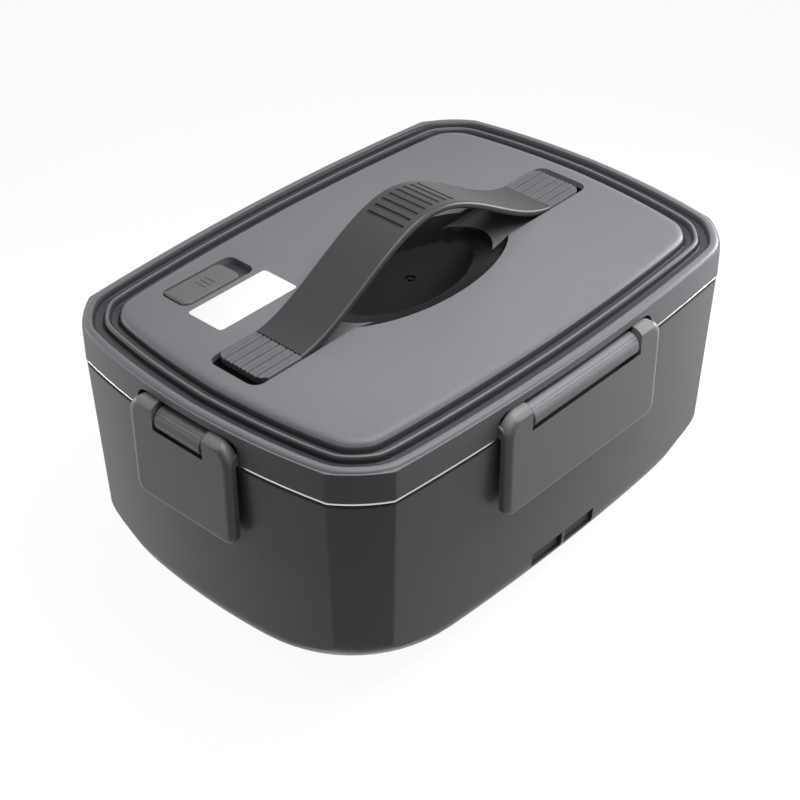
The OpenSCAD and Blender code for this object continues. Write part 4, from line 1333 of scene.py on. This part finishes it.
    def barrel(self, half: float) -> bpy.types.Object:
        """Builds a hinge barrel with stepped ends, fine lengthwise grooves and its web.

        Args:
            half: Half of the barrel's length.

        Returns:
            The barrel, drawn with the lid's wall at y = 0.
        """
        tube = bar((0, -self.pin_in, self.pin_z), self.barrel_r, 2 * (half - self.step), (0, 90, 0), sides=96)
        cut(tube, box((-half - 1, -self.barrel_r - 3, self.low - 6), (half + 1, 0.3, self.low)))
        web = box(
            (-half, -self.pin_in - self.ear_r - self.gap - 0.4, self.low),
            (half, -self.pin_in, self.pin_z + self.barrel_r / 2),
        )
        core = bar((0, -self.pin_in, self.pin_z), self.barrel_r - self.step, 2 * half, (0, 90, 0), sides=96)
        cut(core, box((-half - 1, -self.barrel_r - 3, self.low - 6), (half + 1, 0.3, self.low)))
        cut(tube, web, core, operation="UNION")
        for angle in self.groove_angles:
            out, up = math.cos(math.radians(angle)), math.sin(math.radians(angle))
            spot = (0, -self.pin_in + self.barrel_r * out, self.pin_z + self.barrel_r * up)
            cut(tube, bar(spot, self.fine, 2 * half + 1, (0, 90, 0), sides=12))
        apply_modifier(
            tube, "BEVEL", width=0.2 * MM, segments=BEVEL_STEPS, limit_method="ANGLE", angle_limit=SHARP_EDGE
        )
        return tube

    def paint_bowl_and_groove_shade(self, obj: bpy.types.Object, marks: list[int]) -> None:
        """Paints shade into the finger bowl and the rim's grooves, as near black and dark copies of the lid's
        plastic with a little more gloss.

        Args:
            obj: The lid's skin.
            marks: For each face, 2 where it lies in a groove of the rim, which takes painted shade.
        """
        radius, up, arc, span = self.bowl
        for finish in (BOWL_PAINTED_SHADE, RIM_PAINTED_SHADE):
            obj.data.materials.append(finish.material())
        # The grooves take the dark copy and the bowl the near black one: both are painted shade.
        for face, mark in zip(obj.data.polygons, marks):
            x, y, z = (c / MM for c in face.center)
            if mark == 2:
                face.material_index = 2
                continue
            if abs(x) > span or z > self.panel - 0.02 or z < self.bowl_floor - self.gate_depth - 0.1:
                continue
            r = radius - arc + math.sqrt(arc * arc - x * x)
            on_floor = z < self.bowl_floor + 0.02 and math.hypot(y, self.panel + up - z) < r + 0.6
            if on_floor or abs(math.hypot(y, self.panel + up - z) - r) < 0.12:
                face.material_index = 1

    def barrels(self) -> bpy.types.Object:
        """Builds the four hinge barrels with their webs.

        Returns:
            The barrels, joined.
        """
        return join(
            *[
                place(self.barrel(width / 2 - 13 - self.gap), side, self.plan)
                for side, width in self.latch_w.items()
            ]
        )

    def bosses(self) -> bpy.types.Object:
        """Builds the four tubes under the panel that grip the lid liner's studs.

        Returns:
            The tubes, joined.
        """
        x, y, radius, bore = self.stud
        middle, height = sum(self.stud_z) / 2, self.stud_z[1] - self.stud_z[0]
        parts = []
        for sx, sy in ((1, 1), (-1, 1), (-1, -1), (1, -1)):
            tube = bar((sx * x, sy * y, middle), radius, height, (0, 0, 0))
            cut(tube, bar((sx * x, sy * y, middle), bore, height + 1, (0, 0, 0)))
            parts.append(tube)
        return join(*parts)

    def pocket_shade_sheet(self) -> bpy.types.Object:
        """Builds a thin dark sheet of painted shade on the vent pocket's floor.

        Returns:
            The sheet.
        """
        x0, x1, y0, y1, floor = self.pocket
        size = (x1 - x0 - 0.4, y1 - y0 - 0.4, self.pocket_corner - 0.2)
        pad = rounded_plate(((x0 + x1) / 2, (y0 + y1) / 2), *size, floor - 0.05, floor + self.shade_sheet_t)
        cut(pad, bar((self.vent[0], self.vent[1], floor), self.vent[2] + 0.2, 2, (0, 0, 0)))
        return pad

    def channel_shade_sheets(self) -> bpy.types.Object:
        """Builds thin black sheets of painted shade on the channel's floor, under the two sliders.

        Returns:
            The two sheets, as one object.
        """
        half_x, half_y, floor, corner = self.channel
        liner = rounded_plate(
            (0, 0), 2 * half_x - 0.2, 2 * half_y - 0.2, corner - 0.1, floor - 0.05, floor + self.shade_sheet_t
        )
        cut(liner, box((-self.shade_sheet_in, -half_y - 1, floor - 1), (self.shade_sheet_in, half_y + 1, floor + 1)))
        slot_in, slot_out, slot_y = self.slot
        for sign in (-1, 1):
            ends = sorted((sign * slot_in, sign * slot_out))
            cut(liner, box((ends[0], -slot_y, floor - 3), (ends[1], slot_y, floor + 1)))
        return liner

    def build(self) -> None:
        """Builds and seats all the lid's own pieces."""
        skin = self.skin()
        marks = [face.material_index for face in skin.data.polygons]
        self.paint_bowl_and_groove_shade(finish_piece(skin, "lid_skin", LID_PLASTIC, "lid", ["lid_cover"]), marks)
        # The barrels take a lighter copy of the lid's plastic: painted light.
        finish_piece(self.barrels(), "lid_hinge_barrels", BARREL_PAINTED_LIGHT, "lid")
        finish_piece(self.bosses(), "lid_liner_bosses", LID_PLASTIC, "lid")
        finish_piece(self.channel_shade_sheets(), "slider_channel_painted_shade", TRACK_PAINTED_SHADE, "lid")
        finish_piece(self.pocket_shade_sheet(), "vent_pocket_painted_shade", RIM_PAINTED_SHADE, "lid")
        finish_piece(
            rounded_copy("lid_label", 0), "blank_label", LABEL_PAPER, "lid", ["lid_label"]
        )
        finish_piece(
            rounded_copy("lid_liner", 0.3),
            "lid_liner_plate",
            LINER_PLASTIC,
            "lid",
            ["lid_liner"],
        )
        finish_piece(
            rounded_copy("lid_seal", 0.4),
            "lid_seal_ring",
            SEAL_SILICONE,
            "lid",
            ["lid_seal"],
        )


@dataclass
class Latches:
    """The four flap latches, each with two hinge ears, a hollow back and a hook."""

    plan: Plan
    pin_z: float = 91.1
    pin_in: float = 0.8
    ear_r: float = 6.6
    hub_r: float = 2.3
    bore: float = 1.3
    pin_stop: float = 1.5
    low: float = 53.1
    face: float = 4.2
    plate: float = 2.0
    back: float = 0.3
    seat: float = 88.8
    rib: float = 1.6
    ear_w: float = 13.0
    barrel_gap_r: float = 6.3
    lip: float = 87.2
    # Width of the bevel across the face, and its depth.
    bevel: tuple[float, float] = (3.0, 2.1)
    # Radii of the upper and the lower corners.
    corners: tuple[float, float] = (8.0, 5.5)
    # Distance of the hook out of the wall, then its lower and upper face.
    hook: tuple[float, float, float] = (0.4, 67.4, 69.7)
    arc_steps: int = 20
    sizes: dict[str, tuple[Side, float, float]] = field(
        default_factory=lambda: {
            "front": (Side.FRONT, 90.0, 48.0),
            "rear": (Side.REAR, 90.0, 48.0),
            "left": (Side.LEFT, 52.0, 12.0),
            "right": (Side.RIGHT, 52.0, 12.0),
        }
    )

    def profile(self, x: float) -> Ring:
        """Draws the flap's outline seen along its hinge, with room in front.

        Args:
            x: Place along the hinge.

        Returns:
            The ring, in metres.
        """
        arc = [math.radians(90 * i / self.arc_steps) for i in range(self.arc_steps + 1)]
        points = [(self.back, self.low - 1), (self.face + 2, self.low - 1)]
        points += [
            (-self.pin_in + self.ear_r * math.cos(a), self.pin_z + self.ear_r * math.sin(a)) for a in arc
        ]
        points += [
            (-self.pin_in - 0.1, self.pin_z + self.ear_r),
            (-self.pin_in - 0.1, self.seat),
            (self.back, self.seat),
        ]
        return [Vector((x, y, z)) * MM for y, z in points]

    def flap(self, width: float, catch: float) -> bpy.types.Object:
        """Builds a flap, drawn with the lid's wall at y = 0.

        Args:
            width: Width of the flap.
            catch: Width of its hook.

        Returns:
            The flap.
        """
        half, top = width / 2, self.pin_z + self.ear_r
        wide, deep = self.bevel
        fronts = [
            flap_ring(half, top, self.low, 0, y, self.corners) for y in (-2 * self.ear_r, self.face - deep)
        ]
        for i in range(1, 9):
            angle = math.pi / 2 * i / 8
            fronts.append(
                flap_ring(
                    half,
                    top,
                    self.low,
                    wide * (1 - math.cos(angle)),
                    self.face - deep * (1 - math.sin(angle)),
                    self.corners,
                )
            )
        obj = loft(fronts)
        cut(obj, loft([self.profile(-half - 1), self.profile(half + 1)]), operation="INTERSECT")
        cut(obj, bar((0, -self.pin_in, self.pin_z), self.hub_r, width, (0, 90, 0)), operation="UNION")
        inner, notch = half - self.rib, half - self.ear_w
        cut(obj, box((-inner, -2 * self.ear_r, self.low - 1), (inner, self.plate, self.pin_z - self.ear_r)))
        cut(obj, bar((0, -self.pin_in, self.pin_z), self.barrel_gap_r, 2 * notch, (0, 90, 0), sides=96))
        cut(obj, box((-notch, -2 * self.ear_r, self.lip), (notch, self.face + 2, top + 1)))
        cut(obj, box((-notch, -2 * self.ear_r, self.pin_z - self.barrel_gap_r), (notch, self.plate, top + 1)))
        cut(obj, bar((0, -self.pin_in, self.pin_z), self.bore, width - 2 * self.pin_stop, (0, 90, 0)))
        apply_modifier(
            obj, "BEVEL", width=0.3 * MM, segments=BEVEL_STEPS, limit_method="ANGLE", angle_limit=SHARP_EDGE
        )
        inside, low, high = self.hook
        return join(obj, box((-catch / 2, inside, low), (catch / 2, self.plate + 0.4, high), bevel=0.25))

    def build(self) -> None:
        """Builds and seats the four flaps."""
        for name, (side, width, catch) in self.sizes.items():
            flap = place(self.flap(width, catch), side, self.plan)
            finish_piece(
                flap,
                f"{name}_latch_flap",
                LATCH_PLASTIC,
                f"{name}_latch_body",
                [f"{name}_latch"],
            )


@dataclass
class VentPlug:
    """The silicone vent plug with raised grip ribs."""

    hinge: Point = (-74.9, 50.8)
    length: float = 27.5
    width: float = 13.0
    low: float = 100.8
    thickness: float = 3.0
    corner: float = 2.8
    # Radius and length of the trunnions.
    trunnion: tuple[float, float] = (1.0, 16.9)
    # X, radius and lower end of the stem.
    stem: tuple[float, float, float] = (-58.42, 3.0, 98.7)
    # X of the middle rib, and the pitch.
    ribs: tuple[float, float] = (-60.2, 2.4)

    def flap(self) -> bpy.types.Object:
        """Builds the plug's plate with its hinge roll and its stem.

        Returns:
            The plug.
        """
        x, y = self.hinge
        high = self.low + self.thickness
        middle = self.low + self.thickness / 2
        rings = [
            rounded_ring((x + self.length / 2 - 2, y), self.length + 4, self.width, self.corner, self.low)
        ]
        for i in range(5):
            angle = math.pi / 2 * i / 4
            inset = 0.8 * (1 - math.cos(angle))
            size = (self.length + 4 - 2 * inset, self.width - 2 * inset)
            rings.append(
                rounded_ring(
                    (x + self.length / 2 - 2, y),
                    *size,
                    self.corner - inset,
                    high - 0.8 * (1 - math.sin(angle)),
                )
            )
        plate = loft(rings)
        cut(plate, box((x - 10, y - self.width, self.low - 1), (x, y + self.width, high + 1)))
        cut(plate, bar((x, y, middle), self.thickness / 2, self.width, (90, 0, 0)), operation="UNION")
        back = x - self.thickness / 2
        size = (x + self.length - back, self.width, self.corner)
        cut(
            plate,
            rounded_plate((back + size[0] / 2, y), *size, self.low - 1, high + 1),
            operation="INTERSECT",
        )
        pin, reach = self.trunnion
        stem_x, stem_r, stem_low = self.stem
        stem = bar((stem_x, y, (stem_low + self.low + 0.5) / 2), stem_r, self.low + 0.5 - stem_low, (0, 0, 0))
        cut(plate, bar((x, y, middle), pin, reach, (90, 0, 0)), stem, operation="UNION")
        return plate

    def build(self) -> None:
        """Builds and seats the plug and its ribs."""
        finish_piece(
            self.flap(), "vent_plug_flap", VENT_SILICONE, "vent_plug_body", ["vent_plug"]
        )
        middle, pitch = self.ribs
        high = self.low + self.thickness
        ribs = [
            box(
                (middle + pitch * k - 0.5, self.hinge[1] - 2.6, high - 0.3),
                (middle + pitch * k + 0.5, self.hinge[1] + 2.6, high + 0.35),
                bevel=0.2,
            )
            for k in (-1, 0, 1)
        ]
        finish_piece(join(*ribs), "vent_plug_ribs", VENT_SILICONE, "vent_plug_body")


@dataclass
class Handle:
    """The soft strap, which bows over the bowl, and its two sliders."""

    foot_z: float = 101.3
    rise: float = 29.6
    bow_half: float = 75.0
    half: float = 70.7
    width: float = 24.6
    thickness: float = 3.0
    corner: float = 1.1
    steps: int = 40
    groove_pitch: float = 4.0
    groove_count: int = 4
    blend_from: float = 22.0
    # Inner and outer end of a slider, then its lower and upper face.
    slider_x: tuple[float, float] = (71.0, 90.7)
    slider_z: tuple[float, float] = (101.3, 104.3)
    slider_corner: float = 4.2
    bands: int = 6
    notch: float = 0.45
    notch_depth: float = 0.8
    ridge: float = 0.3
    # Inner end, outer end, half width and lower end of a slider's stem.
    stem: tuple[float, float, float, float] = (75.0, 86.7, 4.0, 98.7)

    def height(self, x: float) -> float:
        """Gives the height of the strap's middle surface."""
        t = abs(x) / self.bow_half
        return self.foot_z + self.rise * (1 - t * t * (3 - 2 * t)) + self.thickness / 2

    def section(self, x: float) -> Ring:
        """Draws the strap's rounded section across a place along it.

        Args:
            x: Place along the strap.

        Returns:
            The ring, in metres.
        """
        t = abs(x) / self.bow_half
        slope = -math.copysign(self.rise * 6 * t * (1 - t) / self.bow_half, x)
        length = math.hypot(1, slope)
        normal = Vector((-slope / length, 0, 1 / length))
        middle = Vector((x, 0, self.height(x)))
        flat = rounded_ring((0, 0), self.width, self.thickness, self.corner, 0, steps=4)
        return [(middle + Vector((0, p.x / MM, 0)) + normal * (p.y / MM)) * MM for p in flat]

    def strap(self, sign: int) -> bpy.types.Object:
        """Builds one half of the strap with its shallow grip grooves.

        Args:
            sign: Side of the box, -1 or 1.

        Returns:
            The half.
        """
        obj = loft([self.section(sign * self.half * i / self.steps) for i in range(self.steps + 1)])
        for k in range(1, self.groove_count + 1):
            x = sign * self.groove_pitch * (k - 0.5)
            top = self.height(x) + self.thickness / 2
            cut(obj, box((x - 0.8, -9.0, top - 0.55), (x + 0.8, 9.0, top + 2), bevel=0.3))
        return obj

    def ribbed(self, x: float) -> Ring:
        """Draws the slider's section at a place along it, with its ribbed top.

        Args:
            x: Place along the slider.

        Returns:
            The ring, in metres.
        """
        low, high = self.slider_z
        half = self.width / 2
        band = self.width / self.bands
        top = []
        for k in range(self.bands):
            start = half - k * band
            for i in range(13):
                u = i / 12
                y = start - self.notch / 2 - u * (band - self.notch)
                top.append((y, high - self.ridge * (1 - abs(math.sin(2 * math.pi * u)))))
            if k < self.bands - 1:
                top.append((start - band, high - self.notch_depth))
        return [Vector((x, y, z)) * MM for y, z in [(-half, low), (half, low), *top]]

    def slider(self, sign: int) -> bpy.types.Object:
        """Builds a slider: a ribbed pad with rounded outer corners and the stem under it.

        Args:
            sign: Side of the box, -1 or 1.

        Returns:
            The slider, with its place in its mesh.
        """
        start, end = self.slider_x
        low, high = self.slider_z
        pad = loft([self.ribbed(sign * x) for x in (start, end)])
        cut(
            pad,
            rounded_plate((0, 0), 2 * end, self.width, self.slider_corner, low - 1, high + 1),
            operation="INTERSECT",
        )
        apply_modifier(
            pad,
            "BEVEL",
            width=0.25 * MM,
            segments=BEVEL_STEPS,
            limit_method="ANGLE",
            angle_limit=math.radians(60),
        )
        stem_in, stem_out, half, stem_low = self.stem
        ends = sorted((sign * stem_in, sign * stem_out))
        return join(pad, box((ends[0], -half, stem_low), (ends[1], half, low + 0.4), bevel=0.3))

    def build(self) -> None:
        """Builds the strap's halves, dressed but not seated on a body, and builds and seats the sliders."""
        for sign, side in ((-1, "left"), (1, "right")):
            half = self.strap(sign)
            dress(half, f"strap_{side}_half", STRAP_RUBBER, ["handle_strap"], angle=40.0)
            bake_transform(half)
            finish_piece(
                self.slider(sign),
                f"{side}_strap_slider",
                SLIDER_PLASTIC,
                f"{side}_slider",
                [f"{side}_handle_slider"],
            )


@dataclass
class Insides:
    """The solid nodes inside the box that keep their shape and take a finish."""

    finishes: dict[str, Finish] = field(
        default_factory=lambda: {
            "inner_liner": INNER_PLASTIC,
            "liner_screws": SCREW_STEEL,
            "cover_screws": SCREW_STEEL,
            "heating_plate": PLATE_ALUMINIUM,
            "plate_gasket": GASKET_SILICONE,
            "ptc_heaters": HEATER_ALUMINIUM,
            "heater_clip": CLIP_STEEL,
            "clip_screws": SCREW_STEEL,
            "insulation_pad": PAD_FIBRE,
            "thermostat": PHENOLIC,
            "thermostat_screws": SCREW_STEEL,
            "thermal_fuse": CERAMIC,
            "ac_inlet": SOCKET_PLASTIC,
            "dc_inlet": SOCKET_PLASTIC,
            "ac_pins": PIN_BRASS,
            "dc_pins": PIN_BRASS,
            "ac_wires": RED_WIRE,
            "dc_wires": BLACK_WIRE,
            "long_latch_pins": PIN_STEEL,
            "short_latch_pins": PIN_STEEL,
            "left_retainer": RETAINER_PLASTIC,
            "right_retainer": RETAINER_PLASTIC,
            "left_retainer_screws": SCREW_STEEL,
            "right_retainer_screws": SCREW_STEEL,
        }
    )

    def build(self) -> None:
        """Gives each node its finish."""
        for node, finish in self.finishes.items():
            paint_node(node, finish)


@dataclass(frozen=True)
class Lamp:
    """A square soft light that faces a target."""

    name: str
    place: tuple[float, float, float]
    target: tuple[float, float, float]
    size: float
    power: float

    def build(self) -> None:
        """Adds the light to the scene."""
        data = bpy.data.lights.new(self.name, "AREA")
        data.shape = "SQUARE"
        data.size = self.size
        data.energy = self.power
        lamp = bpy.data.objects.new(self.name, data)
        bpy.context.scene.collection.objects.link(lamp)
        lamp.location = self.place
        lamp.rotation_euler = (Vector(self.target) - Vector(self.place)).to_track_quat("-Z", "Y").to_euler()


@dataclass
class Studio:
    """The white floor, soft lights, surroundings and camera."""

    ambient: float = 0.075
    floor_glow: float = 0.94
    floor_colour: float = 0.12
    lamps: tuple[Lamp, ...] = (
        Lamp("top_softbox", (0.0, -0.07, 0.34), (-0.01, -0.05, 0.10), 0.2, 0.84),
        Lamp("left_softbox", (-0.19, 0.25, 0.10), (-0.12, 0.06, 0.06), 0.12, 0.28),
        Lamp("right_softbox", (0.26, -0.127, 0.12), (0.11, -0.08, 0.06), 0.12, 0.76),
    )
    camera_place: tuple[float, float, float] = (-0.44805, -0.40732, 0.48825)
    camera_axes: tuple[tuple[float, float, float], ...] = (
        (0.67536, -0.73748, -0.00460),
        (0.44139, 0.39921, 0.80363),
        (-0.59081, -0.54477, 0.59512),
    )
    lens: float = 83.4948

    def seen(self, tree: bpy.types.NodeTree) -> bpy.types.NodeSocket:
        """Gives 1 for rays from the camera, and for reflected and transmitted ones.

        Args:
            tree: Node tree that takes the nodes.

        Returns:
            The socket with that number.
        """
        path = add_node(tree, "ShaderNodeLightPath")
        first = add_node(
            tree,
            "ShaderNodeMath",
            {0: path.outputs["Is Camera Ray"], 1: path.outputs["Is Glossy Ray"]},
            operation="ADD",
        )
        both = add_node(
            tree,
            "ShaderNodeMath",
            {0: first.outputs[0], 1: path.outputs["Is Transmission Ray"]},
            operation="ADD",
            use_clamp=True,
        )
        return both.outputs[0]

    def world(self) -> None:
        """Makes the surroundings white to the eye and dimmer as a light."""
        world = bpy.data.worlds.new("studio_world")
        bpy.context.scene.world = world
        world.use_nodes = True
        tree = world.node_tree
        tree.nodes.clear()
        level = add_node(
            tree, "ShaderNodeMapRange", {"Value": self.seen(tree), "To Min": self.ambient, "To Max": 1.0}
        )
        glow = add_node(
            tree, "ShaderNodeBackground", {"Color": (1, 1, 1, 1), "Strength": level.outputs["Result"]}
        )
        add_node(tree, "ShaderNodeOutputWorld", {"Surface": glow.outputs["Background"]})

    def floor(self) -> None:
        """Builds the floor, white to the eye with the object's soft shadow on it."""
        deselect()
        bpy.ops.mesh.primitive_plane_add(size=8, location=(0, 0, 0))
        floor = bpy.context.object
        floor.name = "studio_floor"
        material = bpy.data.materials.new("studio_floor_white")
        material.use_nodes = True
        tree = material.node_tree
        tree.nodes.clear()
        matt = add_node(
            tree,
            "ShaderNodeBsdfDiffuse",
            {"Color": (self.floor_colour, self.floor_colour, self.floor_colour, 1)},
        )
        level = add_node(
            tree, "ShaderNodeMath", {0: self.seen(tree), 1: self.floor_glow}, operation="MULTIPLY"
        )
        glow = add_node(tree, "ShaderNodeEmission", {"Color": (1, 1, 1, 1), "Strength": level.outputs[0]})
        both = add_node(tree, "ShaderNodeAddShader", {0: matt.outputs[0], 1: glow.outputs[0]})
        add_node(tree, "ShaderNodeOutputMaterial", {"Surface": both.outputs[0]})
        floor.data.materials.append(material)

    def camera(self) -> None:
        """Sets the camera."""
        data = bpy.data.cameras.new("studio_camera")
        data.lens = self.lens
        data.sensor_width = 36.0
        data.sensor_fit = "HORIZONTAL"
        data.clip_start = 0.01
        camera = bpy.data.objects.new("studio_camera", data)
        bpy.context.scene.collection.objects.link(camera)
        turn = Matrix(self.camera_axes).transposed().to_4x4()
        camera.matrix_world = Matrix.Translation(self.camera_place) @ turn
        bpy.context.scene.camera = camera

    def build(self) -> None:
        """Builds the whole studio."""
        self.world()
        self.floor()
        for lamp in self.lamps:
            lamp.build()
        self.camera()
        bpy.context.scene.view_settings.view_transform = "Standard"


def main() -> None:
    """Builds the lunch box and its studio."""
    logging.basicConfig(level=logging.INFO, format="%(name)s: %(message)s")
    deselect()
    plan = Plan()
    for part in (
        Shell(plan),
        Container(Plan(round_radius=40.0)),
        Lid(plan),
        Latches(plan),
        VentPlug(),
        Handle(),
        Insides(),
        Studio(),
    ):
        LOG.info("building %s", type(part).__name__)
        part.build()


if __name__ == "__main__":
    main()
